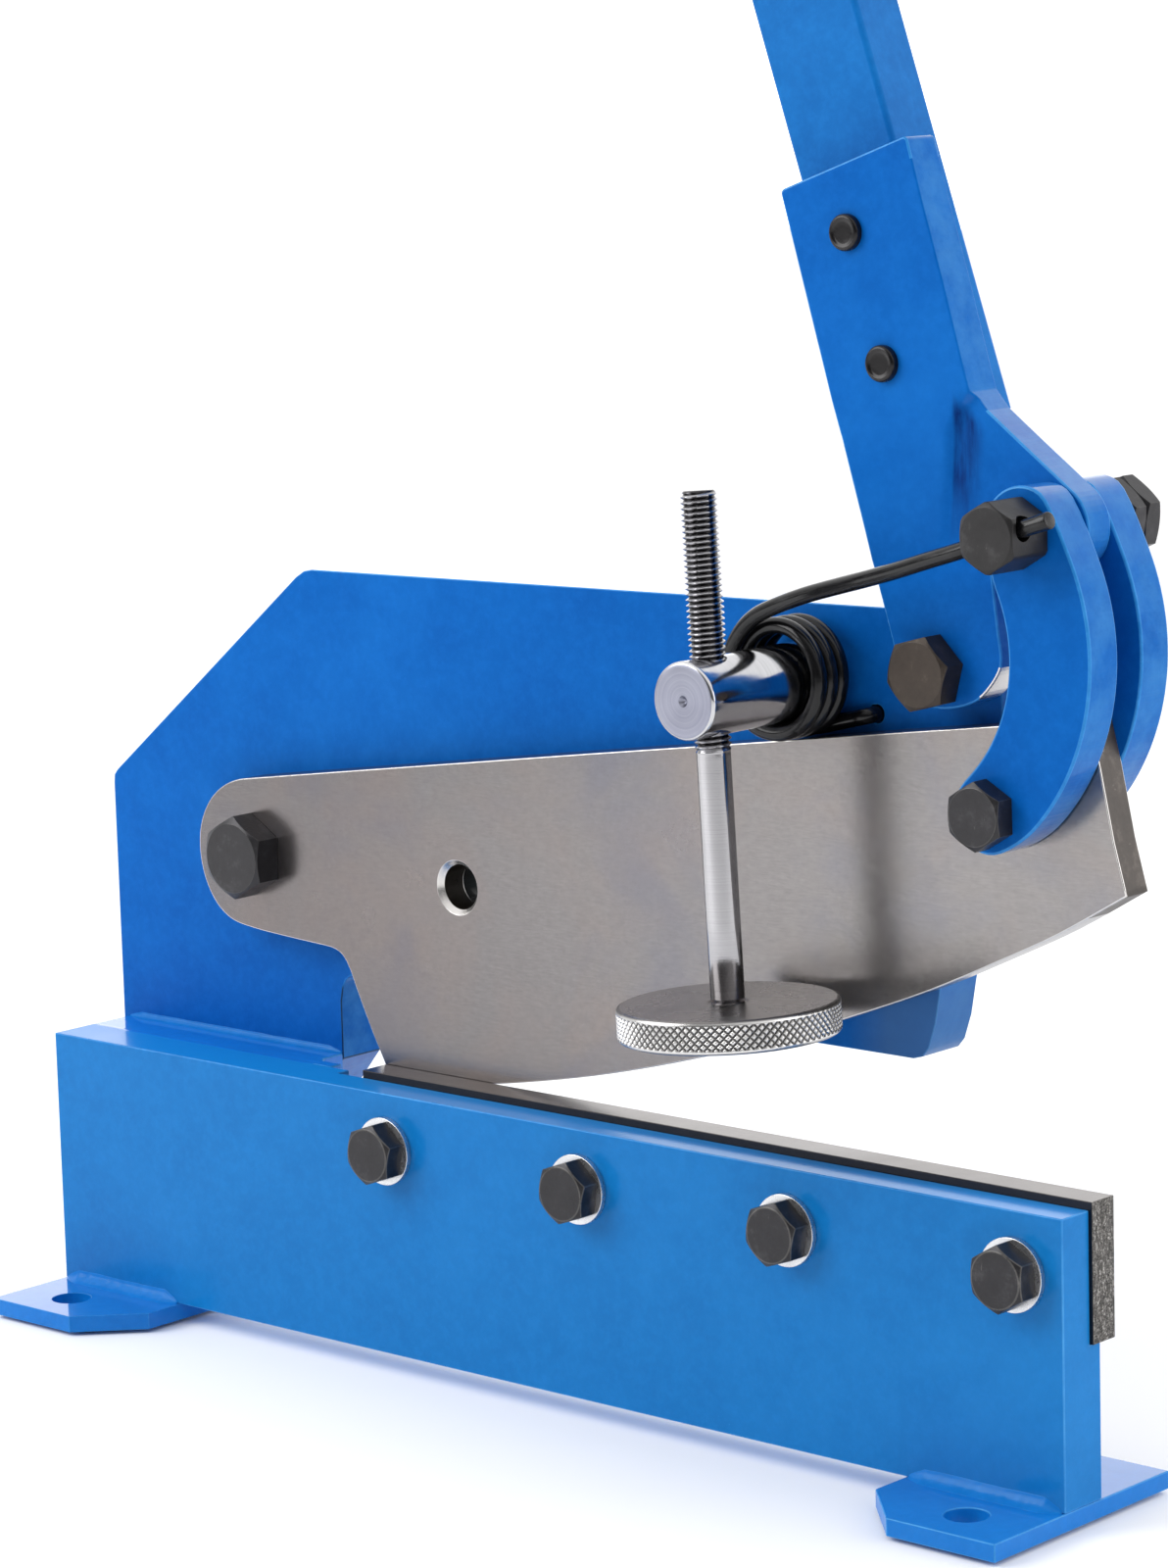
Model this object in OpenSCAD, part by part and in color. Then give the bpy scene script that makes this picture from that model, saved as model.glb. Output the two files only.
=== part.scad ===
// Bench lever shear: a C-shaped frame plate welded behind a base plate, a fixed
// lower blade, a swinging upper blade, and a hand lever that drives the blade
// through a pair of crescent links. All sizes are in millimetres.
// X runs along the cut, Y from front to back, Z up. The origin is the centre of
// the four foot holes, on the surface that the feet stand on.

/* [Base] */
// Length of the base plate
base_l = 385; // [380:1:390]
// Thickness of the base plate
base_t = 16; // [16:1:16]
// Height of the top of the base plate over the bench
base_top = 83; // [82:0.5:83]
// Thickness of the two feet
foot_t = 5; // [4:0.5:6]
// Width of each foot along the base
foot_w = 52; // [50:1:54]
// Depth of each foot from front to back
foot_d = 76; // [74:1:80]
// Diameter of the bolt holes in the feet
foot_hole_d = 12; // [9:0.5:12]
// Distance between the foot holes along the base
foot_hole_x = 345; // [343:1:347]
// Distance between the foot holes from front to back
foot_hole_y = 47; // [46:1:48]

/* [Blades] */
// Thickness of both blades
blade_t = 9.6; // [9.4:0.1:9.6]
// Length of the fixed blade
fixed_l = 263; // [255:1:266]
// Height of the fixed blade
fixed_h = 37.8; // [36:0.2:38]
// Diameter of the hole for round bar
bar_hole_d = 13.2; // [10:0.2:13.4]
// Opening angle of the upper blade from closed to open, in degrees
blade_swing = 14.4; // [14:0.1:14.4]

/* [Lever] */
// Swing of the lever from open to closed, in degrees
lever_swing = 84; // [80:1:84]
// Length of the handle tube
handle_l = 480; // [300:10:600]
// Width of the flat handle tube
handle_w = 33.6; // [32:0.2:34]
// Depth of the flat handle tube
handle_d = 19; // [16:1:19]
// Wall of the handle tube
handle_wall = 2.5; // [2:0.5:3]

/* [Hold-down] */
// Diameter of the bar that carries the hold-down screw
holdbar_d = 21; // [20:0.5:21]
// Diameter of the hold-down screw
screw_d = 10; // [8:1:10]
// Diameter of the hold-down disc
disc_d = 60; // [50:1:60]
// Thickness of the hold-down disc
disc_t = 9; // [6:0.5:10]

/* [Spring] */
// Diameter of the spring wire
wire_d = 4.5; // [4:0.1:4.6]
// Mean radius of the spring coil
coil_r = 14.4; // [14.2:0.1:14.4]

/* [Hidden] */
$fn = 64;

// colours
blue = [0.10, 0.38, 0.72];
steel = [0.58, 0.57, 0.56];
dark = [0.12, 0.12, 0.13];
zinc = [0.82, 0.82, 0.84];

// depths of the layers, counted from the front face of the base plate
y_fix0 = 11.5;                  // front of the fixed blade
y_fix1 = y_fix0 + blade_t;      // back of the fixed blade
y_mov0 = 21.4;                  // front of the moving blade and lever plate
y_mov1 = y_mov0 + blade_t;      // back of them
y_frame0 = 31.3;                // front of the frame plate
y_frame1 = 47.3;                // back of the frame plate
y_link0 = 9.1;                  // front link
y_link1 = 21.1;
y_rear0 = 31.3;                 // rear link
y_rear1 = 43.3;

// pivots in the XZ plane, counted from the left end of the base
P0 = [69.3, 142.8];             // blade pivot
P1 = [329.5, 217];              // lever pivot
A = [356, 183.5];               // lower link pin, in the blade
B = [368, 256.5];               // upper link pin, in the lever
C = [281.5, 212.2];             // axis of the spring coil
bar_c = [281.5, 211];           // axis of the hold-down bar
R0 = [154.6, 141.4];            // hole for round bar
bolt_x = [143.3, 218.7, 294.1, 369.5];
bolt_z = 66.2;
screw_y = -12;
screw_tilt = 2.6;
blade_ratio = blade_swing / lever_swing;
link_ratio = 0.08;

// a turn in the XZ plane, clockwise seen from the front
function turn(p, a) = [p[0] * cos(a) + p[1] * sin(a), -p[0] * sin(a) + p[1] * cos(a)];
// where the lower link pin stands in the blade, at lever angle t
function pin_at(t) = P0 + turn(P1 + turn(B - P1, t) - turn(B - A, link_ratio * t) - P0, -blade_ratio * t);

module at_base() { translate([-base_l / 2, -base_t / 2, 0]) children(); }
// an outline drawn in the XZ plane, as thick as y0 to y1
module slab(y0, y1) { translate([0, y1, 0]) rotate([90, 0, 0]) linear_extrude(height = y1 - y0) children(); }
// a round bar or bore along Y
module ycyl(p, r, y0, y1) { translate([p[0], y1, p[1]]) rotate([90, 0, 0]) cylinder(r = r, h = y1 - y0); }
// a hexagon chamfered at its outer end, standing on z = 0
module hex_body(af, h, both = false) {
    ac = af / 2 / cos(30) + 0.01;
    rf = af * 0.475;
    c = (ac - rf) * tan(30);
    intersection() {
        cylinder(r = af / 2 / cos(30), h = h, $fn = 6);
        rotate_extrude() polygon(both ? [[0, 0], [rf, 0], [ac, c], [ac, h - c], [rf, h], [0, h]]
            : [[0, 0], [ac, 0], [ac, h - c], [rf, h], [0, h]]);
    }
}
// hexagon head whose face looks forward, from y1 (seat) to y1 - h
module yhead(p, af, y1, h, a) { translate([p[0], y1, p[1]]) rotate([90, 0, 0]) rotate([0, 0, a]) hex_body(af, h); }
// nut with its bore, from y0 back
module ynut(p, af, y0, h, a, r) {
    difference() {
        translate([p[0], y0 + h, p[1]]) rotate([90, 0, 0]) rotate([0, 0, a]) hex_body(af, h, true);
        ycyl(p, r, y0 - 1, y0 + h + 1);
    }
}

module base_plate() color(blue) at_base() difference() {
    translate([0, 0, foot_t]) cube([base_l, base_t, base_top - foot_t]);
    translate([113, y_fix0, base_top - 35.6]) cube([base_l, 20, 60]);
    for (x = bolt_x) ycyl([x, bolt_z], 5.5, -1, base_t + 1);
}

module foot(s) {
    // s = 1 for the left foot, -1 for the right one
    y0 = base_t / 2 - foot_d / 2;
    y1 = base_t / 2 + foot_d / 2;
    hx = (base_l - foot_hole_x) / 2;
    translate([s > 0 ? 0 : base_l, 0, 0]) difference() {
        linear_extrude(height = foot_t) scale1(s) polygon([[0, y0], [foot_w - 17, y0], [foot_w, y0 + 17], [foot_w, y1 - 17], [foot_w - 17, y1], [0, y1]]);
        for (q = [-1, 1]) translate([s * hx, base_t / 2 + q * foot_hole_y / 2, -1]) cylinder(d = foot_hole_d, h = foot_t + 2);
    }
}
module scale1(s) { if (s > 0) children(); else mirror([1, 0]) children(); }
module foot_left() color(blue) at_base() foot(1);
module foot_right() color(blue) at_base() foot(-1);

// fillet welds between the feet and the base plate
module foot_welds() color(blue) at_base() for (x = [1, base_l - foot_w + 1]) {
    translate([x, 0, foot_t]) rotate([90, 0, 90]) linear_extrude(height = foot_w - 2) polygon([[0, 0], [-4.5, 0], [-1.6, 1.6], [0, 4.5]]);
    translate([x, base_t, foot_t]) rotate([90, 0, 90]) linear_extrude(height = foot_w - 2) polygon([[0, 0], [4.5, 0], [1.6, 1.6], [0, 4.5]]);
}

module filler_block() color(blue) at_base() translate([0, 0, 40]) linear_extrude(height = base_top - 40)
    polygon([[0, base_t], [105, base_t], [105, 20.8], [97, 20.8], [95, 23], [95, y_frame0], [0, y_frame0]]);

// fillet welds along the joint of frame plate and filler block
module frame_welds() color(blue) at_base() {
    translate([0, y_frame0, base_top]) rotate([90, 0, 90]) linear_extrude(height = 94) polygon([[0, 0], [-4.5, 0], [-1.6, 1.6], [0, 4.5]]);
    translate([1, base_t, 40]) rotate([90, 0, 90]) linear_extrude(height = 90) polygon([[0, 0], [5, 0], [1.8, -1.8], [0, -5]]);
}

module frame_outline() polygon([[-2.5, 34], [-2.5, 157], [-2.2, 159.6], [-0.7, 161.3], [82.3, 226.4], [85.8, 228.4],
    [89.1, 229], [306.6, 231.3], [336, 231.6], [341, 229], [344.5, 222], [344.5, 206], [342.5, 198], [322.7, 130.3],
    [320.8, 120.2], [318.4, 113.2], [316.2, 110.6], [313, 109.7], [103, 109.7], [99.8, 107.6], [97.2, 105.8],
    [95.9, 103.2], [95, 99], [95, 81.3], [55, 34]]);

module frame_plate() color(blue) at_base() difference() {
    slab(y_frame0, y_frame1) frame_outline();
    ycyl(P0, 7.1, 30, 50);
    ycyl(P1, 6.1, 30, 50);
    ycyl(bar_c, 7.05, 30, 50);
    ycyl(R0, bar_hole_d / 2 + 0.4, 30, 50);
    ycyl([302.6, 202.5], wire_d / 2 + 0.3, 30, 42);
}

module fixed_blade() color(steel) at_base() difference() {
    translate([386 - fixed_l, y_fix0, base_top - 35.6]) cube([fixed_l, blade_t, fixed_h]);
    for (x = bolt_x) ycyl([x, bolt_z], 5, y_fix0 - 1, y_fix1 + 1);
}

module base_bolts() color(dark) at_base() for (i = [0:3]) {
    yhead([bolt_x[i], bolt_z], 16, -1.8, 6.4, [20, 20, 19, 31][i]);
    ycyl([bolt_x[i], bolt_z], 5, -1.8, y_fix1 - 0.5);
}
module base_washers() color(zinc) at_base() for (x = bolt_x) difference() {
    ycyl([x, bolt_z], 10, -1.8, 0);
    ycyl([x, bolt_z], 5.25, -3, 1);
}

// outline of the upper blade, with the cutting edge along its lower side
module blade_outline() {
    difference() {
        polygon([[113.4, 172.2], [207, 185.1], [348.1, 204.1], [379.6, 208.4], [382.8, 195.8], [386.8, 177.3], [390.6, 163.7],
            [369, 151.4], [349.9, 142.2], [327.1, 131.8], [303.7, 122.6], [280, 114], [255, 105.7], [230, 98.5], [205, 92.3],
            [180, 87.2], [160, 83.8], [142, 81.3], [125, 79.5],
            [124.2, 81.4], [123.4, 83.3], [122.4, 85.4], [121.2, 87.7], [119.8, 90.3], [118.4, 92.8], [117.1, 95.3], [115.8, 97.9], 
            [114.6, 100.4], [113.5, 102.8], [112.4, 105.1], [111.4, 107.2], [110.5, 109.1], [109.8, 110.9], [109, 112.4], 
            [108.2, 113.8], [107.3, 114.9], [106.4, 115.9], [105.4, 116.6], [104.3, 117.1], [103.2, 117.5], [102.1, 117.8], 
            [100.9, 117.9], [99.5, 118], [98.1, 118.1], [96.6, 118.2], [94.1, 118.3], [90.1, 118.5], [85.3, 118.8], [80.4, 119.1], 
            [76.5, 119.4], [72.6, 119.7], [69, 120], [65.7, 120.4], [62.7, 120.8], [60, 121.5], [57.7, 122.5], [55.7, 123.6], 
            [53.9, 125], [52.3, 126.6], [50.9, 128.3], [49.7, 130.2], [48.7, 132.2], [47.8, 134.4], [47.1, 136.6], [46.6, 138.8], 
            [46.3, 141.1], [46.2, 143.4], [46.3, 145.7], [46.7, 148.1], [47.3, 150.4], [48.3, 152.7], [49.5, 155], [51, 157.1], 
            [52.7, 158.9], [54.6, 160.6], [56.6, 162], [58.8, 163.2], [61.1, 164.2], [63.6, 165], [66.2, 165.6], [68.9, 166], 
            [71.6, 166.4]]);
    }
}
module moving_blade() color(steel) at_base() difference() {
    slab(y_mov0, y_mov1) blade_outline();
    ycyl(P0, 7.05, 20, 32);
    ycyl(R0, bar_hole_d / 2, 20, 32);
    // countersink of the hole for round bar
    translate([R0[0], y_mov0 - 0.01, R0[1]]) rotate([-90, 0, 0]) cylinder(r1 = 8.15, r2 = bar_hole_d / 2 - 0.01, h = 1.6);
    // clearance along the way of the lower link pin
    for (i = [0:14]) ycyl(pin_at(lever_swing * i / 14), 5.45, 20, 32);
}

module blade_pivot_bolt() color(dark) at_base() {
    yhead(P0, 22, y_mov0 - 0.1, 8.8, 29);
    ycyl(P0, 7, y_mov0 - 0.1, 61);
}
module blade_pivot_nut() color(dark) at_base() ynut(P0, 22, y_frame1, 11, 12, 7);

// lever plate: hub at the pivot, ear for the links and a thicker flag for the handle
module lever_outline() {
    difference() {
        union() {
            polygon([[282.8, 341.7], [325.2, 355.8], [329.6, 340.3], [336.1, 319.2], [342.9, 295.5], [344.4, 290.6], [348.5, 285.8],
                [358.4, 278.4], [375.6, 265.9], [370, 246], [360, 245], [352, 247.5], [349.1, 244], [350.7, 230.1], [351.9, 222.1],
                [350.6, 219.9], [344.4, 211], [339.9, 208.9], [331.9, 207.4], [324, 208.4], [319.2, 213.5], [316.4, 223.2],
                [313.5, 232.9], [309.6, 245.4], [301.7, 277.2], [301.2, 278.8]]);
            translate(B) circle(r = 12);
        }
    }
}
module lever_plate() color(blue) at_base() difference() {
    union() {
        slab(y_mov0, y_mov1) lever_outline();
        // thicker upper part, its front face falling back to the thin part
        intersection() {
            slab(19.2, y_mov0 + 1) polygon([[282.8, 341.7], [325.2, 355.8], [329.6, 340.3], [336.1, 319.2], [342.9, 295.5],
                [344.4, 290.6], [345.5, 289], [338, 284], [336.5, 266], [331, 243], [309.6, 245.4], [301.7, 277.2], [301.2, 278.8]]);
            translate([270, 0, 0]) rotate([90, 0, 90]) linear_extrude(height = 90)
                polygon([[19.2, 380], [19.2, 286], [y_mov0, 244], [y_mov0 + 2, 244], [y_mov0 + 2, 380]]);
        }
    }
    ycyl(P1, 6.05, 18, 32);
    ycyl(B, 6.05, 18, 32);
    for (v = bolt_v) ycyl(handle_pt(bolt_u, v), 3.15, 18, 32);
}
module lever_pivot_bolt() color([0.2, 0.17, 0.15]) at_base() {
    yhead(P1, 18, y_mov0 - 0.1, 7.5, 15);
    ycyl(P1, 6, y_mov0 - 0.1, 59.5);
}
module lever_pivot_nut() color(dark) at_base() ynut(P1, 18, y_frame1, 10, 20, 6);

// crescent link, drawn at rest
module link_outline() union() {
        intersection() {
            difference() {
                translate([327, 224.3]) circle(r = 62, $fn = 128);
                translate([321.2, 223.6]) circle(r = 42.2, $fn = 128);
            }
            polygon([[324, 224], [388, 143], [440, 143], [440, 289], [412, 289]]);
        }
        translate(A) circle(r = 11);
        translate(B) circle(r = 12.2);
}
module link_plate(y0, y1) difference() {
    slab(y0, y1) link_outline();
    ycyl(A, 5.05, y0 - 1, y1 + 1);
    ycyl(B, 6.05, y0 - 1, y1 + 1);
}
module link_front() color(blue) at_base() link_plate(y_link0, y_link1);
module link_rear() color(blue) at_base() link_plate(y_rear0, y_rear1);
module link_bolt() color(dark) at_base() {
    yhead(A, 16, y_link0, 6.4, 31);
    ycyl(A, 5, y_link0, 53.3);
}
module link_nut() color(dark) at_base() ynut(A, 16, y_rear1, 8, 15, 5);

// long-headed bolt of the upper link pin, cross-drilled for the spring
module spring_bolt() color(dark) at_base() difference() {
    union() {
        intersection() {
            yhead(B, 16.6, y_link0 - 0.1, 14.9, 30);
            ycyl(B, 9.2, -10, y_link0);
        }
        ycyl(B, 6, y_link0 - 0.1, 58);
    }
    translate([B[0], -0.8, B[1]]) rotate([0, 90 - 18, 0]) translate([0, 0, -20]) cylinder(r = 3.3, h = 40);
}
module spring_bolt_nuts() color(dark) at_base() {
    ynut(B, 19, y_rear1 + 0.1, 6.4, 19, 6);
    ynut(B, 19, y_rear1 + 6.5, 6.4, 22, 6);
}

// the handle leans back from the cut
handle_o = [318.7, 280.5];
handle_a = 18.5;
bolt_v = [16.4, 52];
bolt_u = 3.3;
function handle_pt(u, v) = handle_o + [u * cos(handle_a) - v * sin(handle_a), u * sin(handle_a) + v * cos(handle_a)];
module in_handle() translate([handle_o[0], y_mov1, handle_o[1]]) rotate([0, -handle_a, 0]) children();
module flat_bar(w, d, r, z0, z1) translate([0, 0, z0]) linear_extrude(height = z1 - z0) union() {
    translate([-w / 2 + r, 0]) square([w - 2 * r, d]);
    translate([-w / 2, r]) square([w, d - 2 * r]);
    for (x = [-1, 1], y = [r, d - r]) translate([x * (w / 2 - r), y]) circle(r = r);
}
module handle_tube() color(blue) at_base() difference() {
    in_handle() difference() {
        flat_bar(handle_w, handle_d, 1.6, -2, handle_l);
        translate([0, handle_wall, 0]) flat_bar(handle_w - 2 * handle_wall, handle_d - 2 * handle_wall, 0.6, -3, handle_l + 1);
    }
    for (v = bolt_v) ycyl(handle_pt(bolt_u, v), 3.15, 29, 52);
}
module handle_plug() color(dark) at_base() in_handle() {
    flat_bar(handle_w, handle_d, 1.6, handle_l, handle_l + 3);
    translate([0, handle_wall, 0]) flat_bar(handle_w - 2 * handle_wall, handle_d - 2 * handle_wall, 0.6, handle_l - 14, handle_l + 1);
}
module handle_bolts() color(dark) at_base() for (v = bolt_v) translate([handle_pt(bolt_u, v)[0], 19.2, handle_pt(bolt_u, v)[1]]) rotate([90, 0, 0]) {
    rotate_extrude() polygon([[0, 0], [4.9, 0], [4.9, 1.4], [4.1, 2.2], [0, 2.2]]);
    translate([0, 0, -38]) cylinder(r = 3, h = 38.5);
}
module handle_nuts() color(dark) at_base() for (v = bolt_v) ynut(handle_pt(bolt_u, v), 10, y_mov1 + handle_d, 5, 10, 3);

module tilted() translate([bar_c[0], screw_y, bar_c[1]]) rotate([0, -screw_tilt, 0]) children();
module holddown_bar() color(zinc) at_base() difference() {
    union() {
        ycyl(bar_c, holdbar_d / 2, -23, y_frame0);
        ycyl(bar_c, 7, y_frame0 - 1, 58);
    }
    tilted() translate([0, 0, -20]) cylinder(r = screw_d / 2 + 0.05, h = 40);
    // centre drilling in the front face
    translate([bar_c[0], -23.01, bar_c[1]]) rotate([-90, 0, 0]) cylinder(r1 = 1.6, r2 = 0.1, h = 1.6);
}
module holddown_bar_nut() color(zinc) at_base() ynut(bar_c, 22, y_frame1, 9, 5, 7);
module holddown_screw() color(zinc) at_base() tilted() {
    translate([0, 0, -15]) cylinder(r = screw_d / 2, h = 68.4);
    translate([0, 0, 53.4]) cylinder(r1 = screw_d / 2, r2 = screw_d / 2 - 1, h = 1);
    translate([0, 0, -86]) cylinder(r = screw_d / 2 - 0.4, h = 71.5);
}
module holddown_disc() color(zinc) at_base() tilted() difference() {
    translate([0, 0, -90.4]) rotate_extrude($fn = 128) polygon([[0, 0], [disc_d / 2 - 0.8, 0], [disc_d / 2, 0.8],
        [disc_d / 2, disc_t - 0.8], [disc_d / 2 - 0.8, disc_t], [0, disc_t]]);
    translate([0, 0, -86]) cylinder(r = screw_d / 2 - 0.4, h = 10);
}

// spring wire: short end in the frame plate, three turns round the bar, and the
// long leg up to the cross hole of the link bolt
leg = [[266.9, 12.9, 213.6], [268.3, 12.6, 219.4], [272.2, 12.2, 225], [277, 11.9, 229], [284, 11.2, 232.2], [296, 9.8, 236.2],
    [308, 8.2, 239.4], [318.4, 6.3, 242], [330.8, 4, 245.2], [343.2, 1.8, 248.8], [356.5, 0, 252.6], [369, -0.8, 256.7], [384.6, -1.2, 261.6]];
coil_y0 = 28.2;
coil_y1 = 13.2;
turns = 3 + 103.7 / 360;
coil_n = 76;
function coil_pt(i) = let (t = i / coil_n, b = 180 + 360 * turns * (1 - t))
    [C[0] + coil_r * cos(b), coil_y0 + (coil_y1 - coil_y0) * t, C[1] + coil_r * sin(b)];
stub = [[302.6, 40, 202.5], [302.6, 34, 202.5], [302.5, 31.4, 202.45], [301.6, 29.4, 202.2], [299.2, 28.4, 201.6], [292, 28.2, 199.9]];
path = concat(stub, [for (i = [0:coil_n - 1]) coil_pt(i)], leg);
function unit(v) = v / norm(v);
function dir_at(p, i) = i == 0 ? unit(p[1] - p[0]) : i == len(p) - 1 ? unit(p[i] - p[i - 1]) : unit(unit(p[i + 1] - p[i]) + unit(p[i] - p[i - 1]));
// side vectors carried along the wire without twist
function carry(p, i, u) = i == len(p) ? [] : let (d = dir_at(p, i), w = unit(u - (u * d) * d)) concat([w], carry(p, i + 1, w));
module sweep(p, r, n) {
    u = carry(p, 0, [0.3, 0.1, 1]);
    m = len(p);
    pts = [for (i = [0:m - 1]) let (d = dir_at(p, i), v = cross(d, u[i])) for (k = [0:n - 1]) p[i] + r * (cos(360 * k / n) * u[i] + sin(360 * k / n) * v)];
    faces = concat([[for (k = [0:n - 1]) k]], [for (i = [0:m - 2]) for (k = [0:n - 1]) [i * n + k, (i + 1) * n + k, (i + 1) * n + (k + 1) % n, i * n + (k + 1) % n]],
        [[for (k = [n - 1:-1:0]) (m - 1) * n + k]]);
    polyhedron(points = pts, faces = faces, convexity = 6);
}
module torsion_spring() color(dark) at_base() sweep(path, wire_d / 2, 10);

base_plate();
foot_left();
foot_right();
foot_welds();
filler_block();
frame_welds();
frame_plate();
fixed_blade();
base_bolts();
base_washers();
moving_blade();
blade_pivot_bolt();
blade_pivot_nut();
lever_plate();
lever_pivot_bolt();
lever_pivot_nut();
link_front();
link_rear();
link_bolt();
link_nut();
spring_bolt();
spring_bolt_nuts();
handle_tube();
handle_plug();
handle_bolts();
handle_nuts();
holddown_bar();
holddown_bar_nut();
holddown_screw();
holddown_disc();
torsion_spring();
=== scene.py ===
import math
import random
import bmesh
import bpy
from mathutils import Matrix, Vector, noise
from mathutils.geometry import delaunay_2d_cdt

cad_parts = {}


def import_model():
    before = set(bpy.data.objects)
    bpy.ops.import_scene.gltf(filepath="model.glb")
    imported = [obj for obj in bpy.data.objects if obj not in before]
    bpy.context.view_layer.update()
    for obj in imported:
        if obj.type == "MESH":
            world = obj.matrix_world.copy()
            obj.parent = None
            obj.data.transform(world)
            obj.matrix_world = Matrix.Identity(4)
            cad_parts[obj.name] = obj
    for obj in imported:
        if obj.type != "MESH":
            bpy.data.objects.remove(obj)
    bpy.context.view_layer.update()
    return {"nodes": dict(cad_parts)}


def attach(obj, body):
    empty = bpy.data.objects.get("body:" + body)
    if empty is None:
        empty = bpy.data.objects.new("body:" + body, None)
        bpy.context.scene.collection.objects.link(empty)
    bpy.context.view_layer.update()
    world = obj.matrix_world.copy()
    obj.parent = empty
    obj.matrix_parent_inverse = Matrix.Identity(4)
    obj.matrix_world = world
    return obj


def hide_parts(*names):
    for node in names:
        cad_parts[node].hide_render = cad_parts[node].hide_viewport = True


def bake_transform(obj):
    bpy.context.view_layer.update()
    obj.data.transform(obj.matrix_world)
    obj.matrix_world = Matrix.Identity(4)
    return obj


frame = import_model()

random.seed(11)
OX, OY = 192.5, 8.0


def at(x, y, z):
    """Millimetres from the base plate's front left lower corner, as metres in the row frame."""
    return Vector(((x - OX) / 1000, (y - OY) / 1000, z / 1000))


# ---------------------------------------------------------------- camera
def camera():
    az, el, roll = (math.radians(a) for a in (42.39, 9.25, -1.61))
    back = Vector((math.sin(az) * math.cos(el), -math.cos(az) * math.cos(el), math.sin(el)))
    right = (-back).cross(Vector((0, 0, 1))).normalized()
    up = right.cross(-back)
    r2 = math.cos(roll) * right + math.sin(roll) * up
    u2 = -math.sin(roll) * right + math.cos(roll) * up
    cam = bpy.data.cameras.new("camera")
    cam.lens = 106.0
    cam.sensor_width = 36.0
    cam.sensor_fit = "AUTO"
    cam.clip_end = 20
    ob = bpy.data.objects.new("camera", cam)
    bpy.context.collection.objects.link(ob)
    m = Matrix.Identity(4)
    for i in range(3):
        m[i][0], m[i][1], m[i][2] = r2[i], u2[i], back[i]
    loc = at(1066.0, -921.6, 384.2)
    for i in range(3):
        m[i][3] = loc[i]
    ob.matrix_world = m
    bpy.context.scene.camera = ob


camera()


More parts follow.
